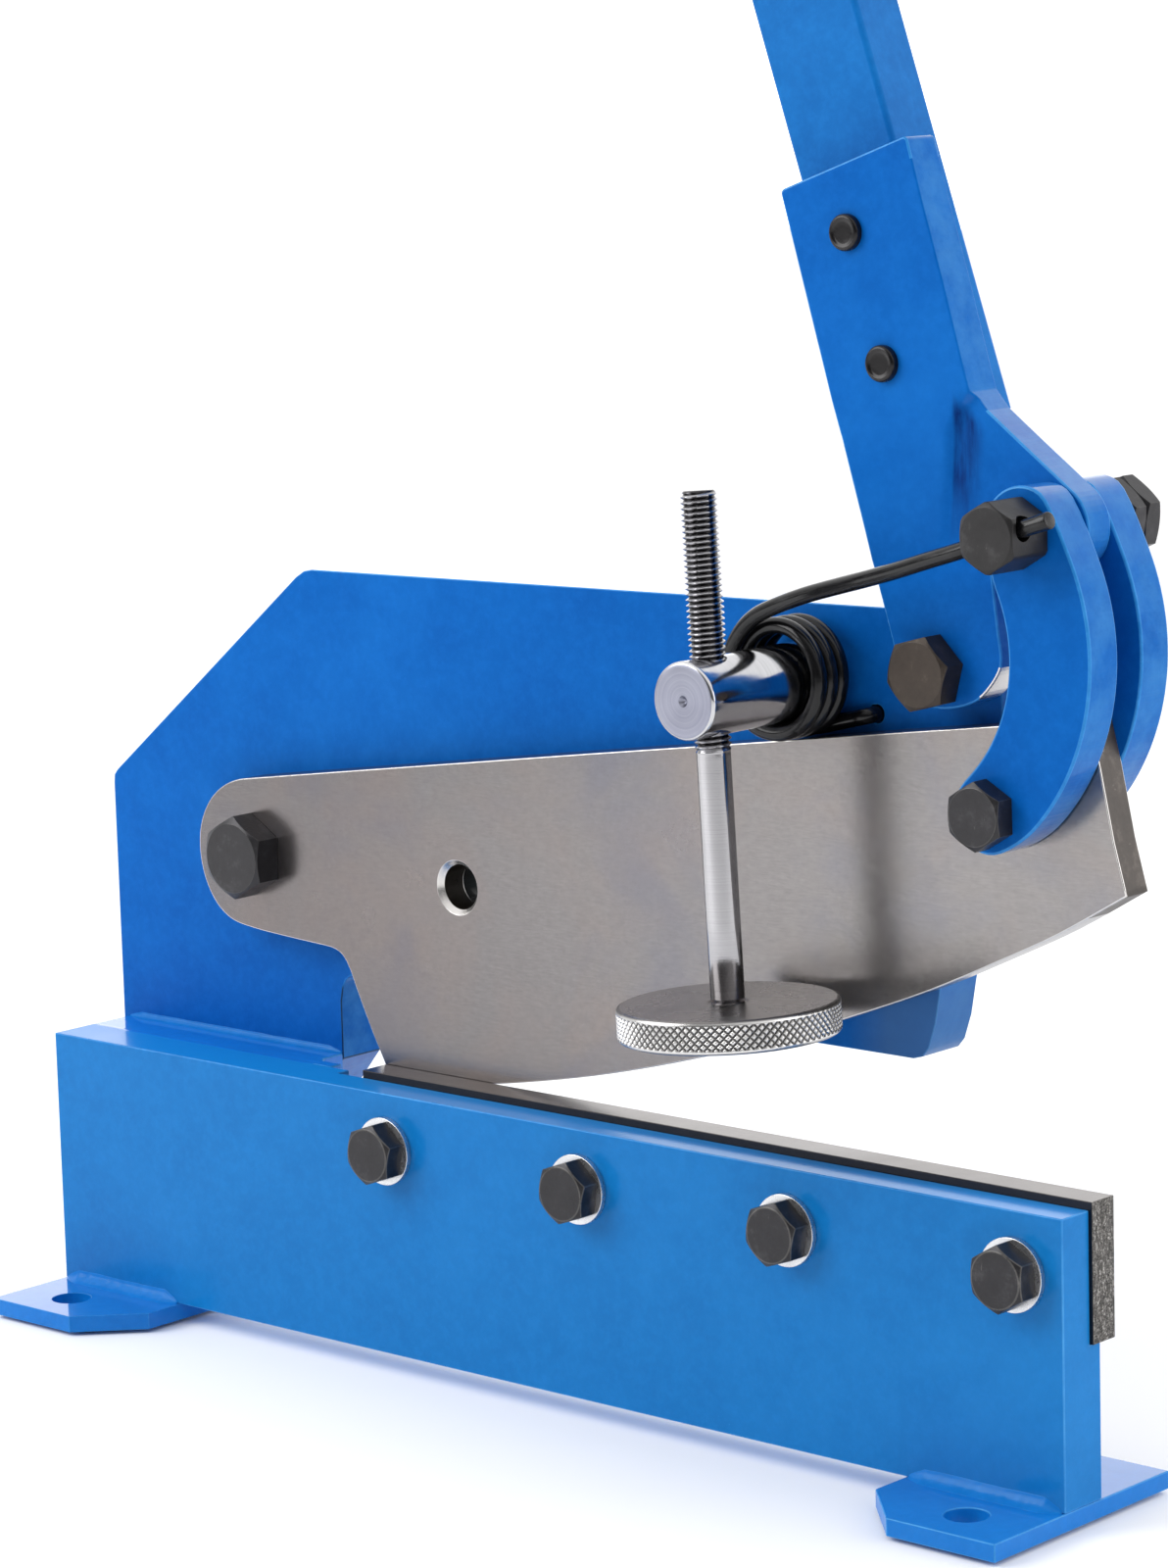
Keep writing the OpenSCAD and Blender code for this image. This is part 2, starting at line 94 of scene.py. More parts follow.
# ---------------------------------------------------------------- materials
class Mat:
    def __init__(self, name):
        self.m = bpy.data.materials.new(name)
        self.m.use_nodes = True
        self.t = self.m.node_tree
        self.t.nodes.clear()
        self.out = self.t.nodes.new("ShaderNodeOutputMaterial")
        self.b = self.t.nodes.new("ShaderNodeBsdfPrincipled")
        self.t.links.new(self.b.outputs[0], self.out.inputs[0])
        self.co = self.t.nodes.new("ShaderNodeTexCoord").outputs["Object"]

    def node(self, kind, **kw):
        n = self.t.nodes.new(kind)
        for k, v in kw.items():
            setattr(n, k, v)
        return n

    def link(self, a, b):
        self.t.links.new(a, b)

    def scaled(self, sx=1, sy=1, sz=1, rot=(0, 0, 0), loc=(0, 0, 0), co=None):
        n = self.node("ShaderNodeMapping")
        self.link(co or self.co, n.inputs[0])
        n.inputs["Scale"].default_value = (sx, sy, sz)
        n.inputs["Rotation"].default_value = rot
        n.inputs["Location"].default_value = loc
        return n.outputs[0]

    def noise(self, scale, detail=4, rough=0.55, co=None, dist=0.0):
        n = self.node("ShaderNodeTexNoise")
        self.link(co or self.co, n.inputs["Vector"])
        n.inputs["Scale"].default_value = scale
        n.inputs["Detail"].default_value = detail
        n.inputs["Roughness"].default_value = rough
        n.inputs["Distortion"].default_value = dist
        return n.outputs["Fac"]

    def voronoi(self, scale, feature="F1", co=None):
        n = self.node("ShaderNodeTexVoronoi", feature=feature)
        self.link(co or self.co, n.inputs["Vector"])
        n.inputs["Scale"].default_value = scale
        return n.outputs[0]

    def ramp(self, fac, stops, interp="LINEAR"):
        n = self.node("ShaderNodeValToRGB")
        n.color_ramp.interpolation = interp
        e = n.color_ramp.elements
        while len(e) < len(stops):
            e.new(0.5)
        for el, (p, c) in zip(e, stops):
            el.position = p
            el.color = (*c, 1) if len(c) == 3 else c
        self.link(fac, n.inputs[0])
        return n.outputs[0]

    def gray(self, fac, a, b, lo=0.0, hi=1.0):
        n = self.node("ShaderNodeMapRange")
        self.link(fac, n.inputs[0])
        n.inputs[1].default_value = a
        n.inputs[2].default_value = b
        n.inputs[3].default_value = lo
        n.inputs[4].default_value = hi
        return n.outputs[0]

    def mix(self, fac, a, b, kind="MIX"):
        n = self.node("ShaderNodeMix", data_type="RGBA", blend_type=kind)
        for i, v in ((0, fac), (6, a), (7, b)):
            if hasattr(v, "is_output"):
                self.link(v, n.inputs[i])
            elif i == 0:
                n.inputs[0].default_value = v
            else:
                n.inputs[i].default_value = (*v, 1)
        return n.outputs[2]

    def math(self, op, a, b=None, c=None):
        n = self.node("ShaderNodeMath", operation=op)
        for i, v in enumerate((a, b, c)):
            if v is None:
                continue
            if hasattr(v, "is_output"):
                self.link(v, n.inputs[i])
            else:
                n.inputs[i].default_value = v
        return n.outputs[0]

    def bump(self, height, strength, distance, normal=None):
        n = self.node("ShaderNodeBump")
        self.link(height, n.inputs["Height"])
        n.inputs["Strength"].default_value = strength
        n.inputs["Distance"].default_value = distance
        if normal is not None:
            self.link(normal, n.inputs["Normal"])
        return n.outputs[0]

    def put(self, **kw):
        names = {"color": "Base Color", "rough": "Roughness", "metal": "Metallic", "normal": "Normal", "coat": "Coat Weight",
                 "coat_rough": "Coat Roughness", "ior": "IOR", "spec": "Specular Level" if "Specular Level" in self.b.inputs else "Specular IOR Level",
                 "aniso": "Anisotropic", "coat_ior": "Coat IOR", "tint": "Specular Tint"}
        for k, v in kw.items():
            s = self.b.inputs[names[k]]
            if hasattr(v, "is_output"):
                self.link(v, s)
            elif k in ("color", "tint"):
                s.default_value = (*v, 1)
            else:
                s.default_value = v
        return self.m


def facing(m):
    """How much a surface faces X, Y and Z, from its own normal."""
    g = m.node("ShaderNodeNewGeometry")
    s = m.node("ShaderNodeSeparateXYZ")
    m.link(g.outputs["Normal"], s.inputs[0])
    return [m.math("ABSOLUTE", s.outputs[i]) for i in range(3)]


def paint(name, dark, mid, light, rough=0.36, cut=False, peel=1.0, spec=0.22, coat=0.0, coat_rough=0.10, painted_ramp_shade=False, top=0.0, bore_and_arm_highlight=False, painted_seam_shade=False, painted_top_light=None):
    m = Mat(name)
    big = m.noise(9, 3, 0.5)
    fine = m.noise(75, 5, 0.6)
    both = m.math("MULTIPLY_ADD", fine, 0.40, m.math("MULTIPLY", big, 0.60))
    col = m.ramp(both, [(0.32, dark), (0.50, mid), (0.70, light)])
    col = m.mix(m.gray(m.noise(330, 4, 0.7), 0.42, 0.68, 0.0, 0.20), col, tuple(min(1, c * 1.30 + 0.004) for c in light))
    # thin spots and dust under the paint
    dust = m.voronoi(260)
    sp = m.gray(dust, 0.0, 0.085, 1.0, 0.0)
    gate = m.gray(m.noise(40, 2), 0.56, 0.66)
    col = m.mix(m.math("MULTIPLY", m.math("MULTIPLY", sp, gate), 0.22), col, tuple(min(1, c * 1.5 + 0.03) for c in light))
    peel_h = m.noise(520, 3, 0.6)
    wave = m.noise(55, 3, 0.55)
    n1 = m.bump(wave, 0.30 * peel, 0.0005)
    n2 = m.bump(peel_h, 0.16 * peel, 0.00018, n1)
    n3 = m.bump(sp, 0.20, 0.0002, n2)
    if cut:
        # flame-cut edges: mottled, with faint drag lines under the paint; their lighter tone is painted light on the
        # side faces
        fx, fy, fz = facing(m)
        lines = m.noise(1.0, 2, 0.5, co=m.scaled(700, 14, 700))
        edge = m.gray(fy, 0.15, 0.6, 1.0, 0.0)
        mott = m.noise(95, 5, 0.65)
        col = m.mix(m.math("MULTIPLY", edge, m.gray(mott, 0.35, 0.68, 0.08, 0.62)), col, (0.050, 0.235, 0.56))
        h = m.math("MULTIPLY", lines, edge)
        n3 = m.bump(h, 0.35, 0.0005, n3)
    if painted_ramp_shade:
        # painted shade: darker paint where the worked-down shoulder of the lever turns away from the light
        sep = m.node("ShaderNodeSeparateXYZ")
        m.link(m.co, sep.inputs[0])
        x, z = sep.outputs[0], sep.outputs[2]
        lean = m.math("MULTIPLY", m.math("SUBTRACT", z, 0.270), 0.09)
        u = m.math("SUBTRACT", m.math("SUBTRACT", x, 0.1450), lean)
        w = m.math("MULTIPLY", m.gray(u, -0.0004, 0.0004), m.gray(u, 0.0050, 0.0098, 1.0, 0.0))
        w = m.math("MULTIPLY", w, m.math("MULTIPLY", m.gray(z, 0.250, 0.268), m.gray(m.math("MULTIPLY_ADD", u, 0.9, z), 0.2870, 0.2905, 1.0, 0.0)))
        w = m.math("MULTIPLY", w, m.gray(m.noise(1.0, 4, 0.65, co=m.scaled(520, 520, 70)), 0.30, 0.66, 0.35, 1.0))
        col = m.mix(m.math("MULTIPLY", w, 0.92), col, (0.002, 0.020, 0.14))
    if bore_and_arm_highlight:
        # bare, oily bore of the hole for round bar
        sep = m.node("ShaderNodeSeparateXYZ")
        m.link(m.co, sep.inputs[0])
        dx, dz = m.math("SUBTRACT", sep.outputs[0], -0.0379), m.math("SUBTRACT", sep.outputs[2], 0.1414)
        d = m.math("SQRT", m.math("ADD", m.math("MULTIPLY", dx, dx), m.math("MULTIPLY", dz, dz)))
        col = m.mix(m.gray(d, 0.0082, 0.0088, 1.0, 0.0), col, (0.010, 0.008, 0.007))
        # painted highlight: a lighter, greyer blue on the lower right arm of the frame plate, for the light falling
        # there
        low = m.math("MULTIPLY", m.gray(sep.outputs[0], 0.098, 0.112), m.gray(sep.outputs[2], 0.126, 0.146, 1.0, 0.0))
        col = m.mix(m.math("MULTIPLY", low, 0.62), col, (0.070, 0.165, 0.35))
    if painted_seam_shade:
        # painted shade: a dark line where the frame plate's inner edge meets the filler block
        sep = m.node("ShaderNodeSeparateXYZ")
        m.link(m.co, sep.inputs[0])
        u = m.math("ABSOLUTE", m.math("SUBTRACT", sep.outputs[0], -0.0977))
        w = m.math("MULTIPLY", m.gray(u, 0.0008, 0.0016, 1.0, 0.0), m.gray(sep.outputs[2], 0.1085, 0.1100, 1.0, 0.0))
        col = m.mix(m.math("MULTIPLY", w, 0.9), col, (0.002, 0.012, 0.05))
    r = m.gray(m.noise(28, 4), 0.3, 0.7, rough - 0.05, rough + 0.09)
    # painted light: what faces up is tinted a lighter, cyan blue
    if painted_top_light:
        col = m.mix(m.gray(facing(m)[2], 0.5, 0.85), col, painted_top_light)
    if top:
        # sprayed from above: a full, glossy film on what faces up
        coat = m.gray(facing(m)[2], 0.35, 0.80, coat, top)
    return m.put(color=col, rough=r, coat=coat, coat_rough=coat_rough, coat_ior=1.55 if top else 1.5, ior=1.5, spec=spec, tint=(0.42, 0.80, 1.0), normal=n3)


BLUE = paint("paint_blue", (0.001, 0.090, 0.38), (0.002, 0.110, 0.435), (0.005, 0.136, 0.50), spec=0.08, top=1.0, coat_rough=0.07)
BLUE_CUT = paint("paint_blue_cut", (0.001, 0.084, 0.365), (0.002, 0.104, 0.420), (0.005, 0.130, 0.485), cut=True, spec=0.07, top=1.0, coat_rough=0.07)
BLUE_FRAME = paint("paint_blue_frame", (0.001, 0.082, 0.360), (0.002, 0.103, 0.415), (0.005, 0.129, 0.480), cut=True, spec=0.07, top=1.0, coat_rough=0.07, bore_and_arm_highlight=True)
BLUE_LEVER = paint("paint_blue_lever", (0.001, 0.084, 0.365), (0.002, 0.105, 0.425), (0.005, 0.133, 0.490), cut=True, spec=0.07, painted_ramp_shade=True, top=1.0, coat_rough=0.07)
# BLUE_BASE, BLUE_FOOT and BLUE_SHELF are lighter copies of the one blue paint: painted light, for the floor's bounce on
# the base and the light from above on the feet and the shelf
BLUE_BASE = paint("paint_blue_base", (0.003, 0.142, 0.430), (0.004, 0.160, 0.470), (0.008, 0.184, 0.515), spec=0.06, coat=0.18, coat_rough=0.16, peel=0.40, top=0.50, painted_top_light=(0.006, 0.230, 0.66))
BLUE_FOOT = paint("paint_blue_foot", (0.002, 0.145, 0.510), (0.003, 0.166, 0.560), (0.006, 0.190, 0.610), spec=0.08, coat=0.30, coat_rough=0.06, peel=0.35, top=1.0)
BLUE_SHELF = paint("paint_blue_shelf", (0.002, 0.170, 0.62), (0.002, 0.190, 0.68), (0.005, 0.214, 0.74), spec=0.06, coat=0.9, coat_rough=0.05, peel=0.30, top=1.0)
BLUE_TUBE = paint("paint_blue_tube", (0.004, 0.108, 0.38), (0.006, 0.136, 0.445), (0.010, 0.176, 0.530), rough=0.34, peel=0.6, spec=0.12)
BLUE_WELD = paint("paint_blue_weld", (0.002, 0.145, 0.50), (0.004, 0.168, 0.55), (0.010, 0.195, 0.60), rough=0.34, peel=1.0, spec=0.12, coat=0.12, coat_rough=0.14)
# the lighter blue on the bevelled edges is partly thin paint on the edges and partly a painted highlight along them
BLUE_EDGE = paint("paint_blue_edge", (0.010, 0.155, 0.48), (0.020, 0.205, 0.57), (0.060, 0.310, 0.70), rough=0.26, peel=1.0, spec=0.42)
BLUE_EDGE_FRAME = paint("paint_blue_edge_frame", (0.010, 0.155, 0.48), (0.020, 0.205, 0.57), (0.060, 0.310, 0.70), rough=0.26, peel=1.0, spec=0.42, painted_seam_shade=True, bore_and_arm_highlight=True)


def blade_steel(name, saw=False, bright=False):
    m = Mat(name)
    grain = m.noise(1.0, 6, 0.62, co=m.scaled(240, 2600, 2600, rot=(0, math.radians(5), 0)))
    blot = m.noise(13, 4, 0.6, dist=0.8)
    brown = m.noise(19, 4, 0.6, co=m.scaled(1, 1, 1, loc=(3.1, 0.4, 1.7)), dist=0.5)
    base = m.ramp(grain, [(0.30, (0.232, 0.220, 0.216)), (0.5, (0.262, 0.249, 0.245)), (0.72, (0.300, 0.286, 0.281))])
    base = m.mix(m.gray(blot, 0.44, 0.70, 0.0, 0.62), base, (0.330, 0.272, 0.245))
    base = m.mix(m.gray(brown, 0.48, 0.72, 0.0, 0.60), base, (0.190, 0.196, 0.245))
    mott = m.noise(52, 6, 0.7)
    base = m.mix(m.gray(mott, 0.38, 0.68, 0.0, 0.16), base, (0.36, 0.35, 0.345))
    speck = m.noise(620, 3, 0.7)
    base = m.mix(m.gray(speck, 0.30, 0.70, 0.26, 0.0), base, (0.16, 0.15, 0.15))
    if bright:
        base = m.mix(0.75, base, (0.80, 0.78, 0.76))
    elif not saw:
        # painted shade: the ground blade is darker towards its left end and lighter towards the right, standing in for
        # the reflected light
        sep = m.node("ShaderNodeSeparateXYZ")
        m.link(m.co, sep.inputs[0])
        base = m.mix(m.gray(sep.outputs[0], -0.09, 0.15, 0.72, 0.06), base, (0.46, 0.445, 0.47), "MULTIPLY")
    rough = m.gray(m.math("MULTIPLY_ADD", blot, 0.5, m.math("MULTIPLY", mott, 0.5)), 0.3, 0.7, 0.20, 0.29)
    n = m.bump(grain, 0.10, 0.00008)
    n = m.bump(mott, 0.05, 0.00012, n)
    n = m.bump(speck, 0.10, 0.00008, n)
    if saw:
        up = facing(m)[2]
        base = m.mix(m.math("MULTIPLY", m.gray(up, 0.6, 0.95), m.gray(blot, 0.25, 0.7, 0.70, 0.95)), base, (0.085, 0.070, 0.062))
        # sawn end: bright torn specks between dark diagonal lines
        fx, fy, fz = facing(m)
        marks = m.noise(1.0, 5, 0.8, co=m.scaled(700, 1700, 420, rot=(math.radians(52), 0, 0)))
        grit = m.noise(1500, 4, 0.8)
        endm = m.gray(fx, 0.6, 0.95)
        both = m.math("MULTIPLY_ADD", marks, 0.55, m.math("MULTIPLY", grit, 0.45))
        torn = m.ramp(both, [(0.43, (0.020, 0.018, 0.016)), (0.52, (0.14, 0.13, 0.12)), (0.61, (0.66, 0.64, 0.61))])
        base = m.mix(endm, base, torn)
        # painted shadow: a dark line along the front edge, where the blade stands above the base plate
        sep = m.node("ShaderNodeSeparateXYZ")
        m.link(m.co, sep.inputs[0])
        front = m.math("MULTIPLY", m.gray(fy, 0.3, 0.7), m.gray(sep.outputs[1], 0.0036, 0.0040, 1.0, 0.0))
        base = m.mix(m.math("MULTIPLY", front, 0.92), base, (0.012, 0.012, 0.014))
        n = m.bump(m.math("MULTIPLY", both, endm), 1.0, 0.0012, n)
    return m.put(color=base, metal=0.88, rough=rough, normal=n)


BLADE = blade_steel("blade_ground")
BLADE_FIXED = blade_steel("blade_fixed", saw=True)


def black_oxide(name, tint=(0.030, 0.029, 0.031), worn=(0.16, 0.15, 0.145), amount=0.5, rough=0.36, fine=1.0, metal=0.55, spec=0.5):
    m = Mat(name)
    a = m.noise(140, 6, 0.68)
    b = m.noise(900, 3, 0.6)
    col = m.ramp(a, [(0.3, tuple(c * 0.7 for c in tint)), (0.55, tint), (0.8, tuple(c * 2.1 + 0.012 for c in tint))])
    scr = m.noise(1.0, 5, 0.7, co=m.scaled(1500, 260, 260, rot=(0.4, 0.7, 0.2)))
    mask = m.math("MULTIPLY", m.gray(scr, 0.63, 0.72), m.gray(a, 0.45, 0.6))
    col = m.mix(m.math("MULTIPLY", mask, amount), col, worn)
    n = m.bump(b, 0.25 * fine, 0.00012)
    n = m.bump(a, 0.30 * fine, 0.0003, n)
    return m.put(color=col, metal=metal, spec=spec, rough=m.gray(a, 0.3, 0.7, rough - 0.06, rough + 0.12), normal=n)


BLACK = black_oxide("black_oxide", tint=(0.030, 0.029, 0.032), rough=0.32, amount=0.65)
BLACK_ROUGH = black_oxide("black_oxide_forged", tint=(0.026, 0.025, 0.026), amount=0.8, rough=0.42)
BROWN = black_oxide("brown_oxide", tint=(0.052, 0.040, 0.032), worn=(0.22, 0.19, 0.15), amount=0.5, rough=0.40)
WIRE = black_oxide("spring_wire", tint=(0.006, 0.006, 0.007), amount=0.10, rough=0.16, fine=0.25, metal=0.2, spec=0.42)
BLACK_GLOSS = black_oxide("black_gloss", tint=(0.012, 0.011, 0.012), amount=0.25, rough=0.18, fine=0.3, metal=0.4)
SCALE = black_oxide("mill_scale", tint=(0.075, 0.064, 0.057), worn=(0.34, 0.32, 0.30), amount=0.7, rough=0.40)
BORE = black_oxide("oily_bore", tint=(0.020, 0.015, 0.011), amount=0.2, rough=0.30)


def zinc():
    m = Mat("zinc_bright")
    a = m.noise(260, 4, 0.6)
    col = m.ramp(a, [(0.3, (0.55, 0.56, 0.58)), (0.7, (0.78, 0.78, 0.79))])
    n = m.bump(a, 0.10, 0.0001)
    return m.put(color=col, metal=0.95, rough=m.gray(a, 0.3, 0.7, 0.20, 0.34), normal=n)


ZINC = zinc()
# lighter chamfer edges for the bolts: partly rubbed edges, partly a painted highlight along them
EDGE_WEAR_AND_HIGHLIGHT = black_oxide("worn_edge_and_highlight", tint=(0.085, 0.082, 0.080), worn=(0.27, 0.26, 0.25), amount=0.7, rough=0.28)


def turned(name, axis, color=((0.50, 0.50, 0.51), (0.70, 0.70, 0.71)), rough=0.2, freq=2600, amount=0.14, painted_thread_shade=False, rim=None):
    """Turned metal: fine rings round the piece's own axis on its ends, fine lines round its side."""
    m = Mat(name)
    s = m.node("ShaderNodeSeparateXYZ")
    m.link(m.co, s.inputs[0])
    o = [s.outputs[i] for i in range(3)]
    u, v = [o[i] for i in range(3) if i != axis]
    w = o[axis]
    r = m.math("SQRT", m.math("ADD", m.math("MULTIPLY", u, u), m.math("MULTIPLY", v, v)))
    c = m.node("ShaderNodeCombineXYZ")
    m.link(m.math("MULTIPLY", r, freq), c.inputs[0])
    m.link(m.math("MULTIPLY", w, freq), c.inputs[1])
    rings = m.noise(1.0, 3, 0.7, co=c.outputs[0])
    soft = m.noise(60, 3, 0.5)
    col = m.ramp(m.math("MULTIPLY_ADD", rings, 0.6, m.math("MULTIPLY", soft, 0.4)), [(0.3, color[0]), (0.7, color[1])])
    if painted_thread_shade:
        # painted shade in the thread's grooves
        dark = m.math("MULTIPLY", m.gray(r, 0.00420, 0.00466, 1.0, 0.0), m.gray(w, -0.0145, -0.0135))
        col = m.mix(m.math("MULTIPLY", dark, 0.94), col, (0.020, 0.019, 0.020))
    if rim:
        # painted shade in the knurl's grooves; the ridges take the rim colour
        knurl_shade_and_rim = m.mix(m.gray(r, 0.02955, 0.02990), (0.035, 0.034, 0.034), rim)
        col = m.mix(m.gray(facing(m)[2], 0.45, 0.85, 1.0, 0.0), col, knurl_shade_and_rim)
    n = m.bump(rings, amount, 0.00010)
    return m.put(color=col, metal=1.0, rough=m.gray(soft, 0.3, 0.7, rough - 0.05, rough + 0.08), normal=n, aniso=0.3)


CHROME_Y = turned("chrome_bar", 1, color=((0.62, 0.62, 0.64), (0.80, 0.80, 0.81)), rough=0.13, amount=0.10)
CHROME_Z = turned("chrome_screw", 2, color=((0.32, 0.315, 0.33), (0.47, 0.465, 0.48)), rough=0.14, amount=0.12, painted_thread_shade=True)
BAR_FACE = turned("bar_end_face", 2, color=((0.21, 0.215, 0.275), (0.36, 0.37, 0.44)), rough=0.34, freq=1500, amount=0.45)
DISC = turned("turned_disc", 2, color=((0.17, 0.160, 0.158), (0.28, 0.265, 0.260)), rough=0.26, freq=2000, amount=0.22, rim=(0.66, 0.65, 0.64))


def plastic():
    m = Mat("plug_plastic")
    a = m.noise(700, 3, 0.6)
    b = m.noise(60, 3, 0.5)
    col = m.ramp(b, [(0.3, (0.012, 0.012, 0.013)), (0.7, (0.03, 0.03, 0.031))])
    return m.put(color=col, rough=m.gray(b, 0.3, 0.7, 0.42, 0.55), normal=m.bump(a, 0.35, 0.0002))


PLUG = plastic()


# ---------------------------------------------------------------- CAD nodes that stay
def weld(o, dist=0.00001):
    w = o.modifiers.new("weld", "WELD")
    w.merge_threshold = dist
    return w


def bevel(o, width, segments=3, angle=28, edge=False):
    weld(o)
    d = o.modifiers.new("flat", "DECIMATE")
    d.decimate_type = "DISSOLVE"
    d.angle_limit = math.radians(0.6)
    b = o.modifiers.new("bevel", "BEVEL")
    b.width = width
    b.segments = segments
    b.limit_method = "ANGLE"
    b.angle_limit = math.radians(angle)
    b.use_clamp_overlap = True
    b.loop_slide = False
    if edge:
        b.material = 1
    n = o.modifiers.new("normals", "WEIGHTED_NORMAL")
    n.keep_sharp = False
    n.weight = 80
    return b


def set_mat(o, mat):
    o.data.materials.clear()
    o.data.materials.append(mat)


def smooth(o, angle=30):
    o.data.polygons.foreach_set("use_smooth", [True] * len(o.data.polygons))


N = frame["nodes"]
PLAN = {
    "base_plate": (BLUE_BASE, 0.0006), "foot_left": (BLUE_FOOT, 0.0007), "foot_right": (BLUE_FOOT, 0.0007),
    "filler_block": (BLUE_SHELF, 0.0005), "frame_plate": (BLUE_FRAME, 0.0009), "lever_plate": (BLUE_CUT, 0.0006),
    "link_front": (BLUE_CUT, 0.0006), "link_rear": (BLUE_CUT, 0.0006), "handle_tube": (BLUE_TUBE, 0.0003),
    "fixed_blade": (BLADE_FIXED, 0.0003), "moving_blade": (BLADE, 0.0004),
    "base_bolts": (BLACK, 0.0003), "blade_pivot_bolt": (BLACK, 0.0003), "blade_pivot_nut": (BLACK, 0.0003),
    "lever_pivot_bolt": (BROWN, 0.0003), "lever_pivot_nut": (BLACK, 0.0003), "link_bolt": (BLACK, 0.0003),
    "link_nut": (BLACK, 0.0003), "spring_bolt": (BLACK_ROUGH, 0.0011), "spring_bolt_nuts": (BLACK, 0.0003),
    "handle_bolts": (BLACK, 0.0002), "handle_nuts": (BLACK, 0.0002), "base_washers": (ZINC, 0.0002),
    "holddown_bar_nut": (ZINC, 0.0003), "handle_plug": (PLUG, 0.0006),
}
for name, (mat, width) in PLAN.items():
    o = N[name]
    set_mat(o, mat)
    edge = mat in (BLUE, BLUE_CUT, BLUE_FRAME, BLUE_BASE, BLUE_FOOT, BLUE_SHELF)
    if edge:
        o.data.materials.append(BLUE_EDGE_FRAME if mat is BLUE_FRAME else BLUE_EDGE)
    # the bolts' chamfers get the lighter edge material: rubbed edges and a painted highlight
    worn = mat in (BLACK, BROWN)
    if worn:
        o.data.materials.append(EDGE_WEAR_AND_HIGHLIGHT)
    bevel(o, width, edge=edge or worn)


# ---------------------------------------------------------------- mesh helpers
def mesh_object(name, verts, faces, mat, smooth_faces=True, matrix=None):
    me = bpy.data.meshes.new(name)
    me.from_pydata([tuple(v) for v in verts], [], faces)
    me.validate()
    me.update()
    bm = bmesh.new()
    bm.from_mesh(me)
    bmesh.ops.recalc_face_normals(bm, faces=bm.faces)
    bm.to_mesh(me)
    bm.free()
    if smooth_faces:
        me.polygons.foreach_set("use_smooth", [True] * len(me.polygons))
    me.materials.append(mat)
    o = bpy.data.objects.new(name, me)
    bpy.context.collection.objects.link(o)
    if matrix is not None:
        o.matrix_world = matrix
    return o


def sharp(o, angle=35):
    """Keeps edges crisp where faces meet at more than this angle."""
    bm = bmesh.new()
    bm.from_mesh(o.data)
    lim = math.radians(angle)
    for e in bm.edges:
        if len(e.link_faces) == 2:
            e.smooth = e.calc_face_angle(0) < lim
    bm.to_mesh(o.data)
    bm.free()


def lathe_rows(rows, n, cap0=True, cap1=True):
    """rows: list of functions or numbers giving (radius, height) per row; returns verts and faces of a closed skin."""
    verts, faces = [], []
    for f in rows:
        for k in range(n):
            a = 2 * math.pi * k / n
            r, z = f(a) if callable(f) else f
            verts.append((r * math.cos(a), r * math.sin(a), z))
    m = len(rows)
    for i in range(m - 1):
        for k in range(n):
            k2 = (k + 1) % n
            faces.append((i * n + k, i * n + k2, (i + 1) * n + k2, (i + 1) * n + k))
    if cap0:
        verts.append((0, 0, rows[0](0)[1] if callable(rows[0]) else rows[0][1]))
        c = len(verts) - 1
        faces += [(c, (k + 1) % n, k) for k in range(n)]
    if cap1:
        verts.append((0, 0, rows[-1](0)[1] if callable(rows[-1]) else rows[-1][1]))
        c = len(verts) - 1
        faces += [(c, (m - 1) * n + k, (m - 1) * n + (k + 1) % n) for k in range(n)]
    return verts, faces


def inside(p, loop):
    x, z = p
    hit = False
    j = len(loop) - 1
    for i in range(len(loop)):
        xi, zi = loop[i]
        xj, zj = loop[j]
        if (zi > z) != (zj > z) and x < (xj - xi) * (z - zi) / (zj - zi) + xi:
            hit = not hit
        j = i
    return hit


def seg_dist(p, a, b):
    ax, az = a
    dx, dz = b[0] - ax, b[1] - az
    t = max(0, min(1, ((p[0] - ax) * dx + (p[1] - az) * dz) / max(1e-12, dx * dx + dz * dz)))
    return math.hypot(p[0] - ax - t * dx, p[1] - az - t * dz)


def arc(c, r, a0, a1, n):
    return [(c[0] + r * math.cos(math.radians(a0 + (a1 - a0) * i / n)), c[1] + r * math.sin(math.radians(a0 + (a1 - a0) * i / n))) for i in range(n + 1)]


def soften(pts, r):
    """Rounds every corner of a closed outline by about r."""
    out = []
    n = len(pts)
    for i in range(n):
        a, b, c = Vector(pts[i - 1]), Vector(pts[i]), Vector(pts[(i + 1) % n])
        u, v = (a - b), (c - b)
        lu, lv = u.length, v.length
        turn = math.pi - u.angle(v)
        d = min(r * math.tan(turn / 2), lu * 0.45, lv * 0.45)
        if turn < math.radians(4) or d < 0.03:
            out.append(tuple(b))
            continue
        p, q = b + u.normalized() * d, b + v.normalized() * d
        k = max(2, int(math.degrees(turn) / 9))
        for j in range(k + 1):
            t = j / k
            out.append(tuple((1 - t) ** 2 * p + 2 * t * (1 - t) * b + t * t * q))
    return out


def spline2(pts, per):
    v = catmull([Vector((p[0], p[1], 0)) for p in pts], per)
    return [(p.x, p.y) for p in v]


def dense(loop, step):
    out = []
    for i in range(len(loop)):
        a, b = loop[i], loop[(i + 1) % len(loop)]
        n = max(1, int(math.ceil(math.hypot(b[0] - a[0], b[1] - a[1]) / step)))
        for k in range(n):
            out.append((a[0] + (b[0] - a[0]) * k / n, a[1] + (b[1] - a[1]) * k / n))
    return out


def area2(loop):
    return sum(loop[i - 1][0] * loop[i][1] - loop[i][0] * loop[i - 1][1] for i in range(len(loop)))


